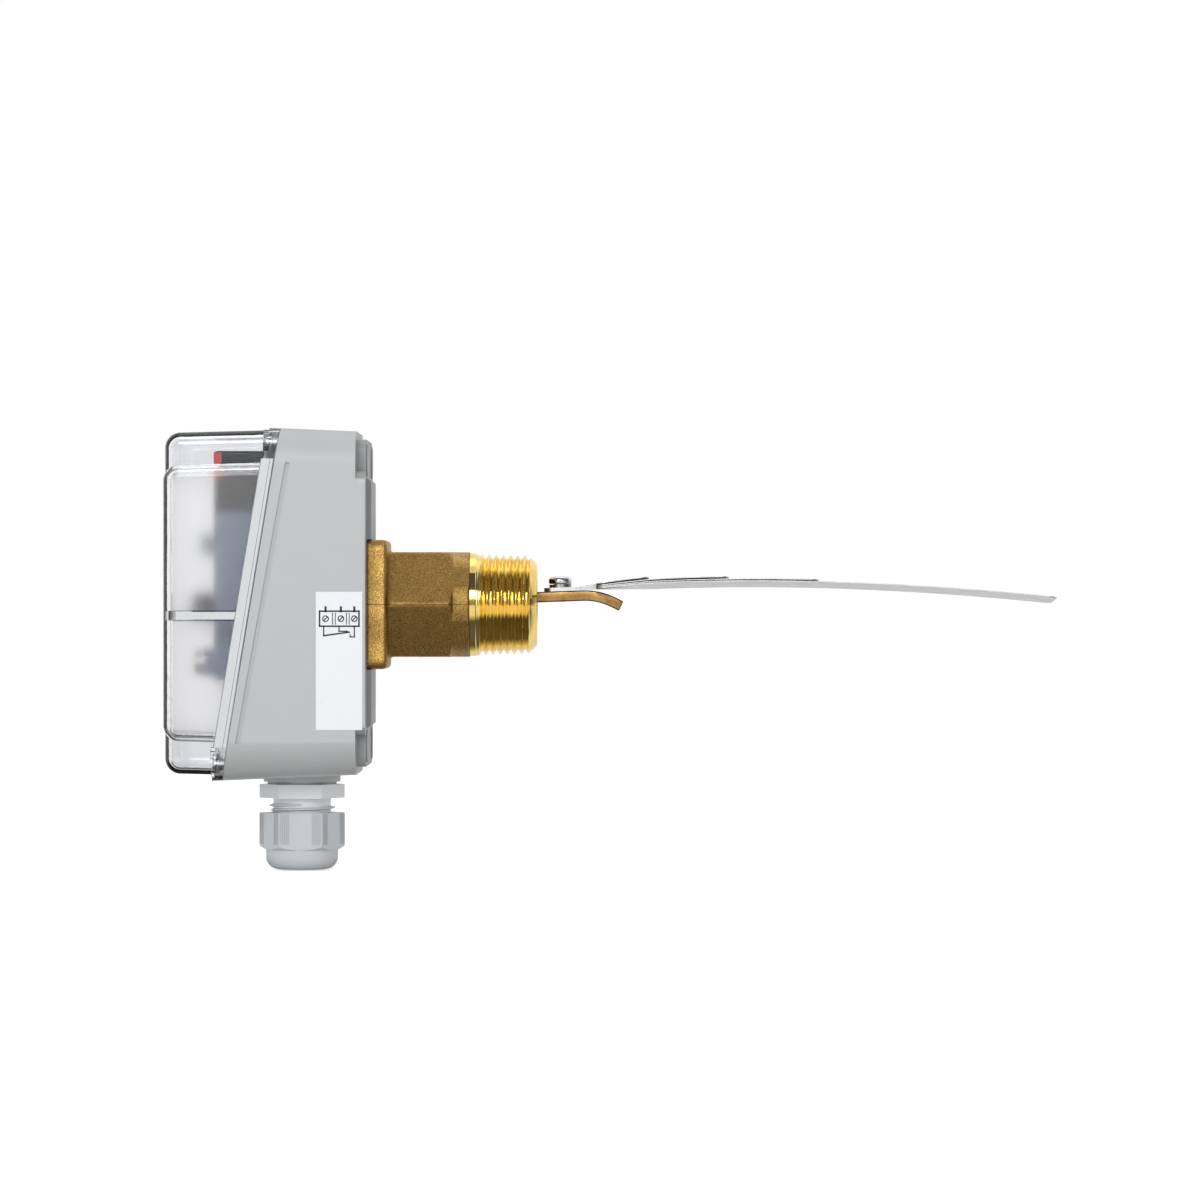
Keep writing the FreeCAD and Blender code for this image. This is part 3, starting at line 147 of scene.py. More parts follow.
def mixed(tree, factor, first, second, blend="MIX"):
    node = tree.nodes.new("ShaderNodeMix")
    node.data_type = "RGBA"
    node.blend_type = blend
    for index, value in ((0, factor), (6, first), (7, second)):
        if isinstance(value, bpy.types.NodeSocket):
            tree.links.new(value, node.inputs[index])
        else:
            node.inputs[index].default_value = value
    return node.outputs[2]


def split(tree, coordinates):
    """Sockets X, Y and Z of texture coordinates such as Object or Normal."""
    node = tree.nodes.new("ShaderNodeSeparateXYZ")
    source = tree.nodes.new("ShaderNodeTexCoord").outputs[coordinates]
    tree.links.new(source, node.inputs["Vector"])
    return node.outputs


def all_of(tree, *masks):
    """Product of masks: where every one of them holds."""
    product = masks[0]
    for mask in masks[1:]:
        product = math_node(tree, "MULTIPLY", product, mask)
    return product


def new_group(name, inputs, outputs):
    tree = bpy.data.node_groups.new(name, "ShaderNodeTree")
    for label, value in inputs:
        kind = "NodeSocketVector" if isinstance(value, tuple) else "NodeSocketFloat"
        socket = tree.interface.new_socket(label, in_out="INPUT", socket_type=kind)
        socket.default_value = value
    for label in outputs:
        tree.interface.new_socket(label, in_out="OUTPUT", socket_type="NodeSocketFloat")
    return tree, tree.nodes.new("NodeGroupInput").outputs, tree.nodes.new("NodeGroupOutput").inputs


def place_group(tree, group, **inputs):
    node = tree.nodes.new("ShaderNodeGroup")
    node.node_tree = group
    for label, value in inputs.items():
        node.inputs[label.replace("_", " ")].default_value = value
    return node.outputs


def choose_shader(tree, mask, first, second):
    """Give the material the second shader where the mask holds, and else the first."""
    choice = add(tree, "MixShader", Fac=mask)
    tree.links.new(first, choice.inputs[1])
    tree.links.new(second, choice.inputs[2])
    tree.links.new(choice.outputs["Shader"], tree.nodes["Material Output"].inputs["Surface"])


def new_material(name, colour, roughness, metallic=0.0, **uniform):
    """Material with one Principled shader; keywords are its other plain values."""
    material = bpy.data.materials.new(name)
    material.use_nodes = True
    tree = material.node_tree
    tree.nodes.clear()
    shader = add(tree, "BsdfPrincipled", Base_Color=colour, Roughness=roughness,
                 Metallic=metallic, **uniform)
    output = tree.nodes.new("ShaderNodeOutputMaterial")
    tree.links.new(shader.outputs["BSDF"], output.inputs["Surface"])
    return material, tree, shader


def bump(tree, shader, height, depth_mm):
    node = add(tree, "Bump", Strength=1.0, Distance=depth_mm * MM, Height=height)
    tree.links.new(node.outputs["Normal"], shader.inputs["Normal"])


def base_colour(material):
    """Tree of a material, the socket of its colour, and what feeds that socket."""
    socket = material.node_tree.nodes["Principled BSDF"].inputs["Base Color"]
    return material.node_tree, socket, socket.links[0].from_socket


# ---------------------------------------------------------------- materials: shared effects
def make_moulded_skin():
    """Fine grain and faint cloudiness of moulded plastic. Sizes in millimetres."""
    tree, given, out = new_group("moulded_skin", (("Grain size", 0.35), ("Cloud size", 9.0)),
                                 ("Height", "Cloud"))
    place = tree.nodes.new("ShaderNodeTexCoord").outputs["Object"]
    grain_scale = math_node(tree, "DIVIDE", 1000.0, given["Grain size"])
    grain = add(tree, "TexNoise", Vector=place, Scale=grain_scale, Detail=2.0)
    cloud_scale = math_node(tree, "DIVIDE", 1000.0, given["Cloud size"])
    cloud = add(tree, "TexNoise", Vector=place, Scale=cloud_scale, Detail=3.0)
    tree.links.new(grain.outputs["Fac"], out["Height"])
    tree.links.new(cloud.outputs["Fac"], out["Cloud"])
    return tree


def make_drawn_metal():
    """Streaks of rolled or turned metal; Stretch is large across the streaks."""
    tree, given, out = new_group("drawn_metal", (("Stretch", (1.0, 1.0, 1.0)),),
                                 ("Streaks", "Stains"))
    place = tree.nodes.new("ShaderNodeTexCoord").outputs["Object"]
    stretched = tree.nodes.new("ShaderNodeVectorMath")
    stretched.operation = "MULTIPLY"
    tree.links.new(place, stretched.inputs[0])
    tree.links.new(given["Stretch"], stretched.inputs[1])
    streaks = add(tree, "TexNoise", Vector=stretched.outputs["Vector"], Scale=100.0, Detail=4.0)
    stains = add(tree, "TexNoise", Vector=place, Scale=160.0, Detail=4.0, Roughness=0.6)
    tree.links.new(streaks.outputs["Fac"], out["Streaks"])
    tree.links.new(stains.outputs["Fac"], out["Stains"])
    return tree


def make_cast_skin():
    """Sand-cast skin: pits and grains with darker stains between them."""
    tree, given, out = new_group("cast_skin", (("Grain size", 0.3),), ("Height", "Speckle", "Stains"))
    place = tree.nodes.new("ShaderNodeTexCoord").outputs["Object"]
    scale = math_node(tree, "DIVIDE", 1000.0, given["Grain size"])
    grains = add(tree, "TexNoise", Vector=place, Scale=scale, Detail=5.0, Roughness=0.65)
    pits = add(tree, "TexVoronoi", Vector=place, Scale=scale)
    both = math_node(tree, "MULTIPLY_ADD", pits.outputs["Distance"], 0.5, grains.outputs["Fac"])
    stains = add(tree, "TexNoise", Vector=place, Scale=120.0, Detail=5.0, Roughness=0.6)
    tree.links.new(both, out["Height"])
    tree.links.new(grains.outputs["Fac"], out["Speckle"])
    tree.links.new(stains.outputs["Fac"], out["Stains"])
    return tree


def make_seam_distance():
    """How far a point lies in front of the plane between cover and base, in millimetres."""
    tree, _, out = new_group("seam_distance", (), ("Ahead",))
    place = split(tree, "Object")
    plane = math_node(tree, "MULTIPLY_ADD", place["Z"], SEAM_LEAN / MM, SEAM_X)
    tree.links.new(math_node(tree, "MULTIPLY_ADD", place["X"], -1 / MM, plane), out["Ahead"])
    return tree


SEAM_DISTANCE = make_seam_distance()
MOULDED_SKIN = make_moulded_skin()
DRAWN_METAL = make_drawn_metal()
CAST_SKIN = make_cast_skin()


# ---------------------------------------------------------------- materials: finishes
def plastic(name, colour, roughness=0.45, grain=0.35, depth=0.012, tint=0.04):
    material, tree, shader = new_material(name, colour, roughness)
    skin = place_group(tree, MOULDED_SKIN, Grain_size=grain)
    low = tuple(c * (1 - tint) for c in colour[:3]) + (1.0,)
    high = tuple(min(1.0, c * (1 + tint)) for c in colour[:3]) + (1.0,)
    shade = ramp(tree, skin["Cloud"], ((0.3, low), (0.7, high)))
    tree.links.new(shade, shader.inputs["Base Color"])
    gloss = ramp(tree, skin["Cloud"], ((0.3, grey(roughness * 0.9)), (0.7, grey(roughness * 1.12))))
    tree.links.new(gloss, shader.inputs["Roughness"])
    bump(tree, shader, skin["Height"], depth)
    return material


def housing_plastic():
    """The moulded grey: a dark line at the seam, painted shade in the recess at the back and under the low
    fold.
    """
    material = plastic("housing_plastic", paint(190, 192, 193), tint=0.012)
    tree, base, shade = base_colour(material)
    place = split(tree, "Object")
    outward = math_node(tree, "ABSOLUTE", place["Y"])
    behind = math_node(tree, "GREATER_THAN", place["X"], (BACK_X - 3.0) * MM)
    within = math_node(tree, "LESS_THAN", outward, (HALF_WIDTH - 0.4) * MM)
    # painted shade: the recess at the back, between the plinth walls, is darkened
    shade = mixed(tree, all_of(tree, behind, within, 0.85), shade, paint(146, 148, 149))
    # painted shade: the low fold and the foot of the sides are darkened
    below = math_node(tree, "MULTIPLY_ADD", place["Z"], -50.0, -2.1)      # 0.1 at the fold, 0.65 at the foot
    below = ramp(tree, below, ((0.08, grey(0.0)), (0.13, grey(0.6)), (0.65, grey(1.0))))
    side = math_node(tree, "GREATER_THAN", outward, (HALF_WIDTH - 7.0) * MM)
    shade = mixed(tree, all_of(tree, below, side), shade, grey(0.79), "MULTIPLY")
    seam = math_node(tree, "COMPARE", place_group(tree, SEAM_DISTANCE)["Ahead"], -0.1, 0.14)
    tree.links.new(mixed(tree, seam, shade, paint(120, 122, 125)), base)
    return material


def metal(name, colour, stain, roughness, stretch, depth=0.004):
    """Drawn, rolled or turned metal; stretch sets the way its streaks run."""
    material, tree, shader = new_material(name, colour, roughness, metallic=1.0)
    skin = place_group(tree, DRAWN_METAL, Stretch=stretch)
    shade = ramp(tree, skin["Stains"], ((0.35, stain), (0.6, colour)))
    tree.links.new(shade, shader.inputs["Base Color"])
    gloss = ramp(tree, skin["Streaks"], ((0.3, grey(roughness * 0.75)), (0.7, grey(roughness * 1.3))))
    tree.links.new(gloss, shader.inputs["Roughness"])
    bump(tree, shader, skin["Streaks"], depth)
    return material


def cast_brass():
    """Sand-cast brass: painted light lifts the flange above the hexagon, painted shade darkens the flange's
    faces that turn along +X, up or down; the mould's parting line and one nick.
    """
    material, tree, shader = new_material("cast_brass", paint(190, 150, 88), 0.42, metallic=0.85)
    skin = place_group(tree, CAST_SKIN)
    grains = ramp(tree, skin["Speckle"], ((0.32, paint(92, 64, 26)), (0.5, paint(192, 150, 78)),
                                          (0.68, paint(250, 214, 134))))
    stains = ramp(tree, skin["Stains"], ((0.35, grey(0.72)), (0.6, grey(1.0))))
    shade = mixed(tree, 0.8, grains, stains, "MULTIPLY")

    place, facing = split(tree, "Object"), split(tree, "Normal")
    hexagon = math_node(tree, "GREATER_THAN", place["X"], (FLANGE_X + 0.2) * MM)
    # painted light: the flange is lifted x1.5 and the hexagon dimmed x0.9
    shade = mixed(tree, 1.0, shade, mixed(tree, hexagon, grey(1.5), grey(0.9)), "MULTIPLY")
    # painted shade on the flange's faces that turn along +X, up or down
    forward = math_node(tree, "GREATER_THAN", facing["X"], 0.3)
    upright = math_node(tree, "GREATER_THAN", math_node(tree, "ABSOLUTE", facing["Z"]), 0.6)
    flange = math_node(tree, "SUBTRACT", 1.0, hexagon)
    painted_flange_shade = all_of(tree, math_node(tree, "MAXIMUM", forward, upright), flange, 0.5)
    shade = mixed(tree, painted_flange_shade, shade, paint(104, 76, 38))

    parting = math_node(tree, "COMPARE", place["Z"], 0.0, 0.17 * MM)
    nick = all_of(tree, math_node(tree, "COMPARE", place["X"], (TURNED_X + 0.1) * MM, 0.2 * MM),
                  math_node(tree, "COMPARE", place["Z"], 0.0, 2.8 * MM))
    marks = math_node(tree, "MULTIPLY", math_node(tree, "MAXIMUM", parting, nick), 0.7)
    tree.links.new(mixed(tree, marks, shade, paint(84, 60, 28)), shader.inputs["Base Color"])
    gloss = ramp(tree, skin["Stains"], ((0.35, grey(0.52)), (0.65, grey(0.36))))
    tree.links.new(gloss, shader.inputs["Roughness"])
    bump(tree, shader, skin["Height"], 0.09)
    return material


def lever_bronze():
    """Bronze bar with painted shade along its broken edges and a painted highlight on its cut end."""
    material = metal("lever_bronze", paint(190, 150, 96), paint(150, 114, 68), 0.3, (2.0, 30.0, 30.0))
    tree, base, shade = base_colour(material)
    facing = split(tree, "Normal")
    side = math_node(tree, "ABSOLUTE", facing["Y"])
    across = math_node(tree, "SUBTRACT", 1.0, math_node(tree, "MULTIPLY", side, side))
    across = math_node(tree, "POWER", across, 0.5)
    # painted shade along the bevelled edges
    broken = ramp(tree, all_of(tree, side, across), ((0.22, grey(0.0)), (0.42, grey(0.85))))
    shade = mixed(tree, broken, shade, paint(88, 58, 34))
    # painted highlight on the end face, which faces along +X
    cut = math_node(tree, "GREATER_THAN", facing["X"], 0.6)
    tree.links.new(mixed(tree, cut, shade, paint(240, 206, 140)), base)
    return material


def clear_plastic():
    """Clear cover: broad sides finely textured, rim milky, a clear rib with two dark lines on each side,
    painted shade tinting the tall middle.
    """
    material, tree, shader = new_material("clear_plastic", paint(249, 249, 250), 0.05, IOR=1.5,
                                          Transmission_Weight=1.0)
    facing, place = split(tree, "Normal"), split(tree, "Object")
    sideways = math_node(tree, "GREATER_THAN", math_node(tree, "ABSOLUTE", facing["Y"]), 0.95)
    broad = math_node(tree, "GREATER_THAN", math_node(tree, "ABSOLUTE", place["Y"]), (HALF_WIDTH - 5) * MM)
    side = all_of(tree, sideways, broad)
    rib = math_node(tree, "COMPARE", place["Z"], (RIB_LOW + RIB_HIGH) / 2 * MM, (RIB_HIGH - RIB_LOW) / 2 * MM)
    frost = all_of(tree, side, math_node(tree, "SUBTRACT", 1.0, rib))
    ahead = place_group(tree, SEAM_DISTANCE)["Ahead"]
    rim = all_of(tree, math_node(tree, "LESS_THAN", ahead, RIM_BAND), broad)
    gloss = math_node(tree, "MULTIPLY_ADD", frost, 0.26, 0.05)
    gloss = math_node(tree, "MAXIMUM", gloss, math_node(tree, "MULTIPLY", rim, 0.5))
    tree.links.new(gloss, shader.inputs["Roughness"])

    low = math_node(tree, "COMPARE", place["Z"], RIB_LOW * MM, 0.16 * MM)
    high = math_node(tree, "COMPARE", place["Z"], RIB_HIGH * MM, 0.16 * MM)
    lines = all_of(tree, math_node(tree, "ADD", low, high), side)
    lines = math_node(tree, "MAXIMUM", lines, math_node(tree, "COMPARE", ahead, RIM_BAND, 0.12))
    # painted shade: the tall middle is tinted darker than the broad sides
    shade = mixed(tree, broad, paint(243, 244, 246), paint(249, 249, 250))
    tree.links.new(mixed(tree, lines, shade, paint(150, 153, 157)), shader.inputs["Base Color"])
    skin = place_group(tree, MOULDED_SKIN, Grain_size=0.5)
    bump(tree, shader, skin["Height"], 0.004)

    path = tree.nodes.new("ShaderNodeLightPath").outputs
    unseen = math_node(tree, "MAXIMUM", path["Is Shadow Ray"], path["Is Diffuse Ray"])
    open_air = add(tree, "BsdfTransparent", Color=grey(0.93))
    choose_shader(tree, unseen, shader.outputs["BSDF"], open_air.outputs["BSDF"])
    return material


HOUSING_PLASTIC = housing_plastic()
GLAND_PLASTIC = plastic("gland_plastic", paint(209, 213, 216), roughness=0.36, tint=0.02)
# painted light: lighter copy of the gland plastic for the gland body, which stands in the housing's shade
GLAND_PAINTED_LIGHT = plastic("gland_painted_light", paint(238, 241, 243), roughness=0.36, tint=0.02)
GLAND_RIB = plastic("gland_rib", paint(194, 198, 201), roughness=0.5, tint=0.02)
RIM_PLASTIC = plastic("rim_plastic", paint(216, 218, 220), roughness=0.25, tint=0.01)
RIM_LINE = plastic("rim_line", paint(132, 134, 138), roughness=0.4, tint=0.01)
BLACK_PLASTIC = plastic("black_plastic", paint(38, 39, 42), roughness=0.4)
BLACK_RUBBER = plastic("black_rubber", paint(34, 34, 35), roughness=0.7, depth=0.02)
RED_PLASTIC = plastic("red_plastic", paint(204, 78, 82), roughness=0.35)
BLUE_PLASTIC = plastic("blue_plastic", paint(40, 84, 160), roughness=0.35)
WHITE_PLASTIC = plastic("white_plastic", paint(226, 227, 226), roughness=0.35)
LABEL_FOIL = plastic("label_foil", paint(240, 242, 245), roughness=0.3, depth=0.003, tint=0.0)
LABEL_INK = plastic("label_ink", paint(36, 37, 40), roughness=0.5, depth=0.002)
CLEAR_PLASTIC = clear_plastic()
CAST_BRASS = cast_brass()
TURNED_BRASS = metal("turned_brass", paint(252, 222, 138), paint(236, 202, 112), 0.09,
                     (40.0, 2.0, 2.0))
LEVER_BRONZE = lever_bronze()
BRONZE = metal("bronze", paint(180, 142, 90), paint(138, 104, 62), 0.3, (2.0, 30.0, 30.0))
STAINLESS = metal("stainless", paint(226, 226, 226), paint(210, 210, 210), 0.36, (2.0, 40.0, 40.0))
ZINC_STEEL = metal("zinc_steel", paint(188, 188, 184), paint(150, 148, 142), 0.25, (8.0, 8.0, 8.0))
CHROME = metal("chrome_screw", paint(222, 224, 228), paint(205, 206, 210), 0.12, (8.0, 8.0, 8.0))
DARK_STEEL = metal("dark_steel", paint(104, 110, 125), paint(95, 101, 115), 0.42, (4.0, 20.0, 4.0))
CONTACT_BRASS = metal("contact_brass", paint(214, 176, 98), paint(188, 148, 78), 0.3,
                      (4.0, 4.0, 20.0))
PHOSPHOR_BRONZE = metal("phosphor_bronze", paint(196, 140, 96), paint(170, 116, 76), 0.25,
                        (30.0, 2.0, 2.0))

SLOT_FINISH = {
    "housing_plastic": HOUSING_PLASTIC, "clear_plastic": CLEAR_PLASTIC, "gland_plastic": GLAND_PLASTIC,
    "black_rubber": BLACK_RUBBER, "cast_brass": CAST_BRASS, "bronze": BRONZE, "stainless": STAINLESS,
    "zinc_steel": ZINC_STEEL, "chrome_screw": CHROME, "dark_steel": DARK_STEEL,
    "black_plastic": BLACK_PLASTIC, "red_plastic": RED_PLASTIC, "blue_plastic": BLUE_PLASTIC,
    "white_plastic": WHITE_PLASTIC, "contact_brass": CONTACT_BRASS,
    "phosphor_bronze": PHOSPHOR_BRONZE, "label_foil": LABEL_FOIL}


def dress_solids():
    """Give every solid the finish of its slot; the gland's washer has a tone of its own and its body a
    lighter copy of the gland plastic, painted light.
    """
    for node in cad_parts.values():
        for place in node.material_slots:
            place.material = SLOT_FINISH[place.material.name.split(".")[0]]
    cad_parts["gland_washer"].material_slots[0].material = GLAND_RIB
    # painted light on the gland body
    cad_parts["gland_body"].material_slots[0].material = GLAND_PAINTED_LIGHT


# ---------------------------------------------------------------- mesh helpers
def link_object(name, data):
    thing = bpy.data.objects.new(name, data)
    bpy.context.collection.objects.link(thing)
    return thing


def add_piece(name, mesh, finish, body="housing", smooth=True):
    """Piece of the visual model that rides on a body of the frame."""
    piece = link_object(name, mesh)
    mesh.materials.append(finish)
    if smooth:
        mesh.shade_smooth()
    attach(piece, body)
    return piece


def solid_copy(node):
    """Mesh of a solid, in place and without its materials."""
    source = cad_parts[node]
    mesh = source.data.copy()
    mesh.transform(source.matrix_world)
    mesh.materials.clear()
    return mesh


def open_mesh(mesh):
    """Work copy of a mesh that is to be reshaped; its stored normals go."""
    for layer in [layer for layer in mesh.attributes if layer.name == "custom_normal"]:
        mesh.attributes.remove(layer)
    work = bmesh.new()
    work.from_mesh(mesh)
    return work


def close_mesh(work, mesh, degrees):
    work.to_mesh(mesh)
    work.free()
    sharpen(mesh, degrees)


def slice_x(work, x, **clear):
    """Cut across the X axis, at x in metres."""
    everything = work.verts[:] + work.edges[:] + work.faces[:]
    bmesh.ops.bisect_plane(work, geom=everything, plane_co=(x, 0, 0), plane_no=(1, 0, 0), **clear)


def full_turn(count):
    return np.linspace(0, 2 * math.pi, count, endpoint=False)


def grid_mesh(name, rings):
    """Closed skin over rings of points, each ring as long as the next, the last joined to the first."""
    rings = np.asarray(rings, dtype=float)
    count, around, _ = rings.shape
    mesh = bpy.data.meshes.new(name)
    index = np.arange(count * around).reshape(count, around)
    right = np.roll(index, -1, axis=1)
    below, below_right = np.roll(index, -1, axis=0), np.roll(right, -1, axis=0)
    faces = np.stack([index, right, below_right, below], axis=-1).reshape(-1, 4)
    mesh.from_pydata(rings.reshape(-1, 3).tolist(), [], faces.tolist())
    mesh.validate()
    return mesh


def ring_x(x, radii, angles):
    """Ring round the thread axis at x, millimetres; angle 0 points along -Y."""
    radii = radii + np.zeros_like(angles)
    across, up = -radii * np.cos(angles), radii * np.sin(angles)
    return np.stack([np.full_like(angles, x), across, up], axis=-1) * MM


def sharpen(mesh, degrees):
    """Mark the edges that bend more than this as sharp."""
    work = bmesh.new()
    work.from_mesh(mesh)
    bmesh.ops.recalc_face_normals(work, faces=work.faces)
    limit = math.radians(degrees)
    for line in work.edges:
        line.smooth = len(line.link_faces) != 2 or line.calc_face_angle() < limit
    work.to_mesh(mesh)
    work.free()


# ---------------------------------------------------------------- brass body
def rounded_polygon_radius(corners, round_r, grow, angles):
    """Distance from the axis to a rounded polygon, grown by an amount, along each angle."""
    corners = np.asarray(corners, dtype=float)
    following = np.roll(corners, -1, axis=0)
    low, high = np.zeros_like(angles), np.full_like(angles, 60.0)
    for _ in range(32):
        middle = (low + high) / 2
        points = np.stack([middle * np.cos(angles), middle * np.sin(angles)], axis=-1)
        inside = np.full_like(angles, -1e9)
        away = np.full_like(angles, 1e9)
        for start, end in zip(corners, following):
            along = end - start
            length = np.hypot(*along)
            normal = np.array([along[1], -along[0]]) / length
            offset = points - start
            inside = np.maximum(inside, offset @ normal)
            share = np.clip((offset @ along) / length ** 2, 0, 1)
            away = np.minimum(away, np.hypot(*(offset - share[:, None] * along).T))
        distance = np.where(inside < 0, inside, away) - round_r
        low = np.where(distance < grow, middle, low)
        high = np.where(distance < grow, high, middle)
    return (low + high) / 2


def polygon(radius, count, first):
    """Corners, anticlockwise, at the given radius."""
    return [(radius * math.cos(first + 2 * math.pi * i / count),
             radius * math.sin(first + 2 * math.pi * i / count)) for i in range(count)]


def box_corners(half_across, half_up):
    return [(-half_across, -half_up), (half_across, -half_up), (half_across, half_up),
            (-half_across, half_up)]


FLANGE_HALF = 20.0, 20.8           # across and up
FLANGE_ROUND, FLANGE_EDGE = 3.0, 1.5
HEXAGON_FLATS, HEXAGON_ROUND = 33.9, 2.0
HEXAGON_FILLET = 1.6               # between flange and hexagon
TURNED_R, TURNED_RUNOUT = 17.3, 1.2


def make_brass_casting():
    """Flange and hexagon, with the parting line of the mould along both sides."""
    angles = full_turn(360)
    half_across, half_up = FLANGE_HALF
    flange = box_corners(half_across - FLANGE_ROUND, half_up - FLANGE_ROUND)
    hexagon = polygon((HEXAGON_FLATS / 2 - HEXAGON_ROUND) / math.cos(math.pi / 6), 6, 0.0)
    parting = sum(np.exp(-((angles - place + math.pi) % (2 * math.pi) - math.pi) ** 2 / 0.011 ** 2)
                  for place in (0.0, math.pi))
    seat_depth, seat_r = CARRIER_SEAT
    seat_end = BACK_X + seat_depth + 1.4
    profile = [(BACK_X, seat_r)]

    for turn in np.linspace(0, math.pi / 2, 6):
        inset = 0.5 * FLANGE_EDGE * (1 - math.sin(turn))
        profile.append((BACK_X + 0.5 * FLANGE_EDGE * (1 - math.cos(turn)),
                        rounded_polygon_radius(flange, FLANGE_ROUND, -inset, angles)))
    flange_radii = rounded_polygon_radius(flange, FLANGE_ROUND, 0, angles)
    for x in np.linspace(BACK_X + 1.0, FLANGE_X - FLANGE_EDGE, 8):
        profile.append((x, flange_radii + 0.08 * parting))
    for turn in np.linspace(0, math.pi / 2, 8):
        inset = FLANGE_EDGE * (1 - math.cos(turn))
        profile.append((FLANGE_X - FLANGE_EDGE * (1 - math.sin(turn)),
                        rounded_polygon_radius(flange, FLANGE_ROUND, -inset, angles)))
    for turn in np.linspace(0, math.pi / 2, 8):
        lift = HEXAGON_FILLET * (1 - math.sin(turn))
        profile.append((FLANGE_X + HEXAGON_FILLET * (1 - math.cos(turn)),
                        rounded_polygon_radius(hexagon, HEXAGON_ROUND, lift, angles)))

    hexagon_radii = rounded_polygon_radius(hexagon, HEXAGON_ROUND, 0, angles)
    cast_end, corner_r = TURNED_X - TURNED_RUNOUT, 20.0
    for x in np.linspace(FLANGE_X + HEXAGON_FILLET + 0.3, cast_end, 40):
        profile.append((x, hexagon_radii + 0.13 * parting))
    for x in np.linspace(cast_end + 0.1, -0.35, 16):
        turned = min(1.0, max(0.0, (x - cast_end) / TURNED_RUNOUT))
        limit = corner_r - (corner_r - TURNED_R) * turned
        profile.append((x, np.minimum(hexagon_radii, limit) + 0.06 * parting * (1 - turned)))
    profile += [(0.0, np.minimum(hexagon_radii, TURNED_R - 0.35)), (0.0, BODY_BORE_R),
                (seat_end, BODY_BORE_R), (seat_end, seat_r)]

    mesh = grid_mesh("brass_casting", [ring_x(x, radii, angles) for x, radii in profile])
    sharpen(mesh, 50)
    piece = add_piece("brass_casting", mesh, CAST_BRASS)
    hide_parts("brass_body")


def make_pipe_thread():
    """Tapered male pipe thread, 11 turns to the inch, with its turned neck and chamfered end."""
    pitch, depth, taper, crest_r = 2.309, 1.48, 1 / 32, 16.55
    neck_r, neck_x = 16.75, 2.0
    first_x, chamfer_x, last_x, end_x = 2.6, 19.0, 19.6, 21.8
    chamfer_slope = 1.15
    angles = full_turn(240)

    def thread_radius(x):
        crest = crest_r - taper * (x - first_x)
        phase = (x / pitch - angles / (2 * math.pi)) % 1.0
        tooth = np.clip((np.abs(phase - 0.5) * 2 - 0.08) / 0.84, 0, 1)
        entry = np.clip((x - first_x) / (0.6 * pitch), 0, 1)
        chamfer = max(0.0, x - chamfer_x) * chamfer_slope
        return np.minimum(crest - depth * tooth * entry, crest - chamfer)

    profile = [(0.0, BODY_BORE_R), (0.0, neck_r - 0.25), (0.15, neck_r), (neck_x, neck_r),
               (neck_x + 0.25, neck_r - 0.25)]
    profile += [(x, thread_radius(x)) for x in np.linspace(first_x, last_x, 150)]
    profile += [(end_x - 0.1, 13.5), (end_x, 13.3), (end_x, BODY_BORE_R + 0.4), (end_x - 0.4, BODY_BORE_R)]
    mesh = grid_mesh("pipe_thread", [ring_x(x, radii, angles) for x, radii in profile])
    sharpen(mesh, 40)
    piece = add_piece("pipe_thread", mesh, TURNED_BRASS)
    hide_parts("brass_body")


# ---------------------------------------------------------------- small parts of the housing
def blocks_mesh(name, blocks):
    """Blocks, each (centre, three half edges), millimetres."""
    points, faces = [], []
    signs = [(-1, -1, -1), (1, -1, -1), (1, 1, -1), (-1, 1, -1), (-1, -1, 1), (1, -1, 1), (1, 1, 1),
             (-1, 1, 1)]
    sides = (0, 3, 2, 1), (4, 5, 6, 7), (0, 1, 5, 4), (1, 2, 6, 5), (2, 3, 7, 6), (3, 0, 4, 7)
    for centre, halves in blocks:
        first = len(points)
        for sign in signs:
            points.append((np.asarray(centre) + np.asarray(sign) @ np.asarray(halves)) * MM)
        for face in sides:
            faces.append([first + corner for corner in face])
    mesh = bpy.data.meshes.new(name)
    mesh.from_pydata([tuple(point) for point in points], [], faces)
    work = bmesh.new()
    work.from_mesh(mesh)
    bmesh.ops.recalc_face_normals(work, faces=work.faces)
    work.to_mesh(mesh)
    work.free()
    return mesh


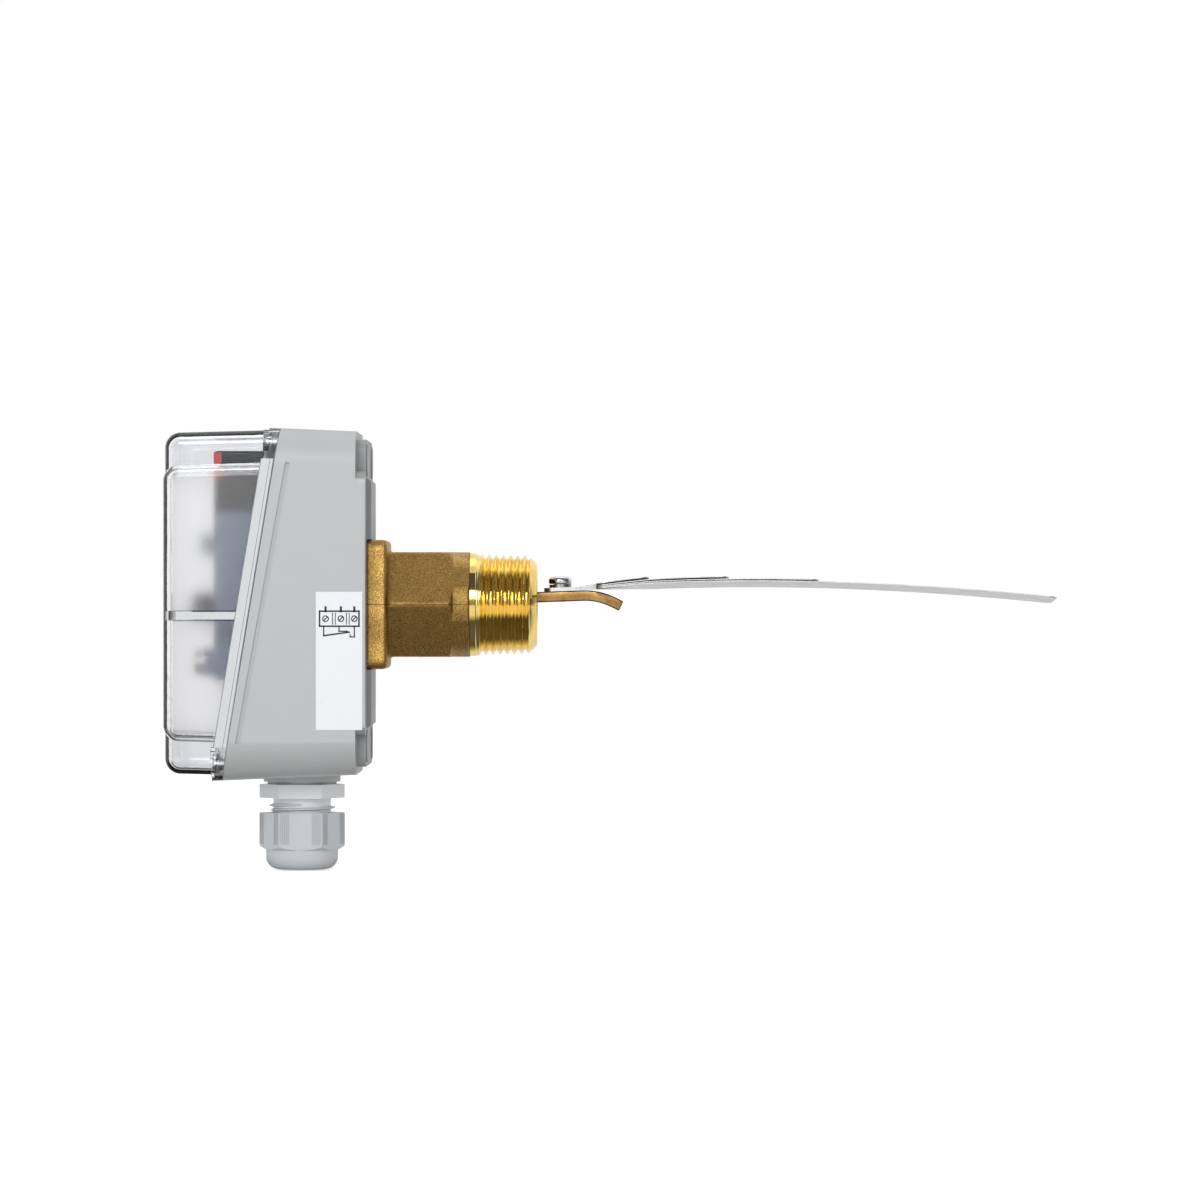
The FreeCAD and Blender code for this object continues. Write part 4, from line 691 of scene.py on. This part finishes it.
def make_label_print():
    """Wiring diagram of the changeover contact on the type label: three terminals and a contact."""
    left, right = edge("type_label", 0, 0), edge("type_label", 1, 0)
    top = edge("type_label", 1, 2)
    face_y = edge("type_label", 0, 1) - 0.015
    width = right - left
    lines = []

    def stroke(x0, down0, x1, down1, thick=0.4):
        """Ink line; x as a share of the label's width, down in millimetres from its top."""
        start = np.array((left + x0 * width, face_y, top - down0))
        stop = np.array((left + x1 * width, face_y, top - down1))
        along = stop - start
        length = np.linalg.norm(along)
        unit = along / length
        across = np.array((-unit[2], 0.0, unit[0]))
        halves = (length + thick) / 2 * unit, (0.0, 0.02, 0.0), across * thick / 2
        lines.append(((start + stop) / 2, halves))

    frame_top, frame_low, frame_left, frame_right = 6.2, 11.0, 0.08, 0.93
    screw_down, screw_r = 8.6, 0.9
    for down in (frame_top, frame_low):
        stroke(frame_left, down, frame_right, down, 0.5)
    for across in (frame_left, frame_right):
        stroke(across, frame_top, across, frame_low, 0.5)
    for across in (0.36, 0.42, 0.66, 0.72):
        stroke(across, frame_top + 0.6, across, frame_low - 0.6, 0.26)
    for across in (0.21, 0.54, 0.83):
        turn = [(across + screw_r * math.cos(a) / width, screw_down + screw_r * math.sin(a))
                for a in np.linspace(0, 2 * math.pi, 17)]
        for (x0, down0), (x1, down1) in zip(turn, turn[1:]):
            stroke(x0, down0, x1, down1, 0.3)
        stroke(across - 0.04, screw_down + 0.6, across + 0.04, screw_down - 0.6, 0.36)
        stroke(across, frame_top - 1.2, across, frame_top, 0.7)
    stroke(0.17, frame_low, 0.17, 14.0)
    stroke(0.17, 14.0, 0.72, 12.9, 0.5)          # the contact's tongue
    stroke(0.50, frame_low, 0.50, 12.6)
    stroke(0.50, 12.6, 0.68, 12.6)
    stroke(0.83, frame_low, 0.83, 14.4)
    stroke(0.83, 14.4, 0.74, 14.4)
    stroke(0.74, 14.4, 0.74, 13.8)
    mesh = blocks_mesh("label_print", lines)
    add_piece("label_print", mesh, LABEL_INK, smooth=False)


def make_rim_bands():
    """On each side of the cover: the rim's milky band with two dark lines, and the pale rib."""
    run = np.array((SEAM_LEAN, 0.0, 1.0))
    low, high = -45.6, 46.6
    middle = (low + high) / 2
    skin = (0.0, 0.03, 0.0)
    front = edge("clear_cover", 0, 0) + 4.5
    back = SEAM_X - 4.6
    bands, lines = [], []
    for side in (-1, 1):
        for ahead, half, target, lift in ((2.15, 1.9, bands, 0.03), (4.15, 0.12, lines, 0.05),
                                          (1.25, 0.09, lines, 0.05)):
            centre = (SEAM_X + SEAM_LEAN * middle - ahead, side * (HALF_WIDTH + lift), middle)
            target.append((centre, ((half, 0.0, 0.0), skin, run * (high - low) / 2)))
        centre = ((front + back) / 2, side * HALF_WIDTH, (RIB_LOW + RIB_HIGH) / 2)
        bands.append((centre, (((back - front) / 2, 0.0, 0.0), skin, (0.0, 0.0, 1.2))))
    for name, blocks, finish in (("rim_bands", bands, RIM_PLASTIC), ("rim_lines", lines, RIM_LINE)):
        add_piece(name, blocks_mesh(name, blocks), finish, smooth=False)


def make_marker_ends():
    """Ends of the outer terminal markers, folded over the sides of the terminal block."""
    front, top = edge("terminal_block", 0, 0), edge("terminal_block", 1, 2)
    for side, name, finish, slot in ((0, "marker_end_red", RED_PLASTIC, "red_plastic"),
                                     (1, "marker_end_white", WHITE_PLASTIC, "white_plastic")):
        face = edge("terminal_block", side, 1)
        centre = (front + 1.2, face, top - 4.6)
        block = (centre, ((1.25, 0.0, 0.0), (0.0, 0.3, 0.0), (0.0, 0.0, 4.1)))
        add_piece(name, blocks_mesh(name, [block]), finish, smooth=False)


def make_gland_ribs():
    """Grip ribs beside the corners of the cap nut."""
    centre = (edge("gland_nut", 0, 0) + edge("gland_nut", 1, 0)) / 2
    top = edge("gland_nut", 1, 2)
    apothem = 12.0
    face_half = apothem * math.tan(math.pi / 6)
    ribs = []
    for turn in range(6):
        angle = math.radians(30 + 60 * turn)
        outward = np.array((math.cos(angle), math.sin(angle), 0.0))
        across = np.array((-math.sin(angle), math.cos(angle), 0.0))
        for count in range(5):
            for side in (-1, 1):
                offset = side * (face_half - 0.55 - 0.62 * count)
                middle = np.array((centre, 0.0, top - 5.2)) + outward * apothem + across * offset
                ribs.append((middle, (outward * 0.25, across * 0.14, (0.0, 0.0, 4.9))))
    add_piece("gland_ribs", blocks_mesh("gland_ribs", ribs), GLAND_RIB, smooth=False)


def make_gland_thread():
    """The stretch of the gland's thread that shows between its hexagons."""
    centre = (edge("gland_nut", 0, 0) + edge("gland_nut", 1, 0)) / 2
    top = edge("gland_nut", 1, 2)
    pitch, turns, root_r, height = 1.5, 1.35, 9.2, 1.5
    first_angle, first_rise = 2.6, 0.7
    root_half, crest_half = 0.62, 0.16
    steps = 90
    points, faces = [], []
    for step in range(steps + 1):
        share = step / steps
        angle = first_angle + 2 * math.pi * turns * share
        middle = top + first_rise + pitch * turns * share
        crest_r = root_r + 0.1 + height * min(1.0, 8 * share, 8 * (1 - share))
        for radius, lift in ((root_r, -root_half), (crest_r, -crest_half), (crest_r, crest_half),
                             (root_r, root_half)):
            points.append(((centre + radius * math.cos(angle)) * MM, radius * math.sin(angle) * MM,
                           (middle + lift) * MM))
    for step in range(steps):
        for corner in range(4):
            a, b = 4 * step + corner, 4 * step + (corner + 1) % 4
            faces.append((a, b, b + 4, a + 4))
    last = 4 * steps
    faces += [(0, 1, 2, 3), (last + 3, last + 2, last + 1, last)]
    mesh = bpy.data.meshes.new("gland_thread")
    mesh.from_pydata(points, [], faces)
    sharpen(mesh, 40)
    add_piece("gland_thread", mesh, GLAND_PLASTIC)


# ---------------------------------------------------------------- lever, paddles and soft parts
def make_strip(node):
    """A paddle strip, rolled a little along its length past the clamp."""
    roll = math.tan(math.radians(3.8))
    run_in, spacing = 0.022, 0.004
    clamp = edge("paddle_screw", 1, 0) * MM + 0.004
    end = edge(node, 1, 0) * MM
    mesh = solid_copy(node)
    work = open_mesh(mesh)
    for x in np.arange(clamp, end - 0.001, spacing):
        slice_x(work, x)
    for vert in work.verts:
        share = min(1.0, max(0.0, (vert.co.x - clamp) / run_in))
        vert.co.z -= roll * share * vert.co.y
    close_mesh(work, mesh, 40)
    piece = add_piece(node + "_strip", mesh, STAINLESS, body="lever")
    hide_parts(node)


def soft_copy(node, name, finish, bodies, start, end, keep=0):
    """Copy of a soft solid that bends between two bodies, from start to end along X.

    keep = -1 or 1 keeps only the part below or above start.
    """
    mesh = solid_copy(node)
    mesh.name = name
    mesh.materials.append(finish)
    if keep:
        work = open_mesh(mesh)
        bmesh.ops.remove_doubles(work, verts=work.verts, dist=1e-7)
        slice_x(work, start * MM, clear_outer=keep < 0, clear_inner=keep > 0)
        rims = [line for line in work.edges if len(line.link_faces) == 1]
        bmesh.ops.holes_fill(work, edges=rims)
        close_mesh(work, mesh, 40)
    piece = link_object(name, mesh)
    mesh.shade_smooth()
    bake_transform(piece, *bodies, (start * MM, 0, 0), (end * MM, 0, 0))
    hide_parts(node)


def make_soft_pieces():
    """Bellows and range spring, which bend or shorten as the joints move."""
    soft_copy("bellows", "bellows_skin", PHOSPHOR_BRONZE, ("housing", "lever"),
              BACK_X + CARRIER_SEAT[0], edge("bellows", 1, 0))
    leg, nut = edge("range_spring", 0, 0), edge("range_spring", 1, 0)
    middle = (leg + nut) / 2
    soft_copy("range_spring", "spring_leg_half", ZINC_STEEL, ("housing", "lever"),
              middle, leg, keep=-1)
    soft_copy("range_spring", "spring_nut_half", ZINC_STEEL, ("housing", "spring_nut"),
              middle, nut, keep=1)


def make_paddle_screw():
    """Pan-head screw with a round-bottomed recess."""
    low, high = edge("paddle_screw", 0, 2), edge("paddle_screw", 1, 2)
    centre = (edge("paddle_screw", 0, 0) + edge("paddle_screw", 1, 0)) / 2
    seat = high - 2.6
    shank = [(low, 0.01), (low, 1.7), (low + 0.3, 2.0), (seat, 2.0)]
    head = [(seat, 3.3), (seat + 0.12, 3.55), (seat + 0.5, 3.73), (seat + 1.3, 3.75),
            (seat + 1.85, 3.55), (seat + 2.3, 3.05), (seat + 2.52, 2.4)]
    recess = [(high, 1.7), (high - 0.05, 1.5), (high - 0.9, 1.1), (high - 1.1, 0.01)]
    angles = full_turn(72)
    rings = [np.stack([centre + radius * np.cos(angles), radius * np.sin(angles),
                       np.full_like(angles, z)], axis=-1) * MM for z, radius in shank + head + recess]
    mesh = grid_mesh("paddle_screw_head", rings)
    sharpen(mesh, 50)
    piece = add_piece("paddle_screw_head", mesh, CHROME, body="lever")
    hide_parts("paddle_screw")


def make_lever():
    """The bronze bar with its edges broken."""
    mesh = solid_copy("lever")
    work = open_mesh(mesh)
    bmesh.ops.remove_doubles(work, verts=work.verts, dist=1e-6)
    bmesh.ops.dissolve_limit(work, angle_limit=math.radians(1), verts=work.verts, edges=work.edges)
    square = [line for line in work.edges if len(line.link_faces) == 2
              and line.calc_face_angle() > math.radians(60)]
    bmesh.ops.bevel(work, geom=square, offset=0.45 * MM, segments=3, profile=0.5, affect="EDGES")
    close_mesh(work, mesh, 40)
    piece = add_piece("lever_bar", mesh, LEVER_BRONZE, body="lever")
    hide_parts("lever")


# ---------------------------------------------------------------- stage
def make_floor():
    """Pale floor that keeps the object's shadow; gloss sees it as a card that darkens below the object."""
    reach = 3.0
    level = solid_box[0][2] - 0.0004
    mesh = bpy.data.meshes.new("floor")
    mesh.from_pydata([(-reach, -reach, level), (reach, -reach, level), (reach, reach, level),
                      (-reach, reach, level)], [], [(0, 1, 2, 3)])
    material, tree, shader = new_material("pale_floor", grey(0.9), 0.8)
    path = tree.nodes.new("ShaderNodeLightPath").outputs
    straight = math_node(tree, "MAXIMUM", path["Is Camera Ray"], path["Is Transmission Ray"])
    glow = add(tree, "Emission", Color=grey(1.0), Strength=math_node(tree, "MULTIPLY", straight, 0.62))
    lit = tree.nodes.new("ShaderNodeAddShader")
    tree.links.new(shader.outputs["BSDF"], lit.inputs[0])
    tree.links.new(glow.outputs["Emission"], lit.inputs[1])
    depth = math_node(tree, "MULTIPLY_ADD", split(tree, "Object")["Y"], 2.0, 0.5)
    seen = ramp(tree, depth, ((0.10, grey(1.0)), (0.26, grey(0.10)), (0.52, grey(0.12)),
                              (0.62, grey(0.85))))
    card = add(tree, "Emission", Color=seen, Strength=1.0)
    choose_shader(tree, path["Is Glossy Ray"], lit.outputs["Shader"], card.outputs["Emission"])
    mesh.materials.append(material)
    link_object("floor", mesh)


def make_world():
    """White studio: even soft light, white where it is seen, darker above and below in reflections."""
    world = bpy.data.worlds.new("studio")
    bpy.context.scene.world = world
    world.use_nodes = True
    tree = world.node_tree
    tree.nodes.clear()
    direction = split(tree, "Generated")
    forward = math_node(tree, "MULTIPLY_ADD", direction["Y"], 0.5, 0.5)
    mirrored = ramp(tree, forward, ((0.0, grey(0.32)), (0.008, grey(0.36)), (0.02, grey(1.75)),
                                    (0.05, grey(1.75)), (0.085, grey(0.08)), (0.5, grey(0.08)),
                                    (0.62, grey(0.95)), (1.0, grey(1.0))))
    across = math_node(tree, "ABSOLUTE", direction["X"])
    beside = ramp(tree, across, ((0.42, grey(0.0)), (0.52, grey(1.0)), (0.76, grey(1.0)),
                                 (0.84, grey(0.0))))
    beside = math_node(tree, "MULTIPLY", beside, 0.2)
    mirrored = mixed(tree, beside, mirrored, grey(0.9))
    even = ramp(tree, forward, ((0.0, grey(0.92)), (0.25, grey(0.72)), (0.5, grey(0.43)),
                                (1.0, grey(0.5))))
    path = tree.nodes.new("ShaderNodeLightPath").outputs
    away = math_node(tree, "GREATER_THAN", forward, 0.06)
    through = math_node(tree, "MULTIPLY", path["Is Transmission Ray"], away)
    seen = math_node(tree, "MAXIMUM", path["Is Camera Ray"], through)
    bounced = math_node(tree, "MAXIMUM", path["Is Glossy Ray"], path["Is Transmission Ray"])
    colour = mixed(tree, seen, mixed(tree, bounced, even, mirrored), grey(1.0))
    background = add(tree, "Background", Color=colour, Strength=1.0)
    output = tree.nodes.new("ShaderNodeOutputWorld")
    tree.links.new(background.outputs["Background"], output.inputs["Surface"])


def add_lamp(name, place, size, watts):
    """Square lamp that points at the origin."""
    light = bpy.data.lights.new(name, "AREA")
    light.shape = "SQUARE"
    light.size = size
    light.energy = watts
    lamp = link_object(name, light)
    lamp.location = place
    lamp.rotation_euler = (-Vector(place)).to_track_quat("-Z", "Y").to_euler()


def make_camera():
    """Level camera, square to the side that carries the label."""
    data = bpy.data.cameras.new("camera")
    data.sensor_width = 36.0
    data.lens = 180.2
    data.clip_start = 0.01
    camera = link_object("camera", data)
    camera.location = (0.0422, -1.95, 0.00146)
    camera.rotation_euler = (math.radians(90), 0, 0)
    bpy.context.scene.camera = camera


dress_solids()
make_brass_casting()
make_pipe_thread()
make_label_print()
make_rim_bands()
make_marker_ends()
make_gland_ribs()
make_gland_thread()
for strip in ("paddle_1in", "paddle_2in", "paddle_3in", "paddle_6in"):
    make_strip(strip)
make_lever()
make_soft_pieces()
make_paddle_screw()
make_floor()
make_world()
add_lamp("front_soft", (-0.35, -1.55, 0.62), 0.6, 7.7)
add_lamp("top_soft", (0.1, 0.2, 1.4), 1.2, 3.0)
make_camera()
bpy.context.scene.view_settings.view_transform = "Standard"
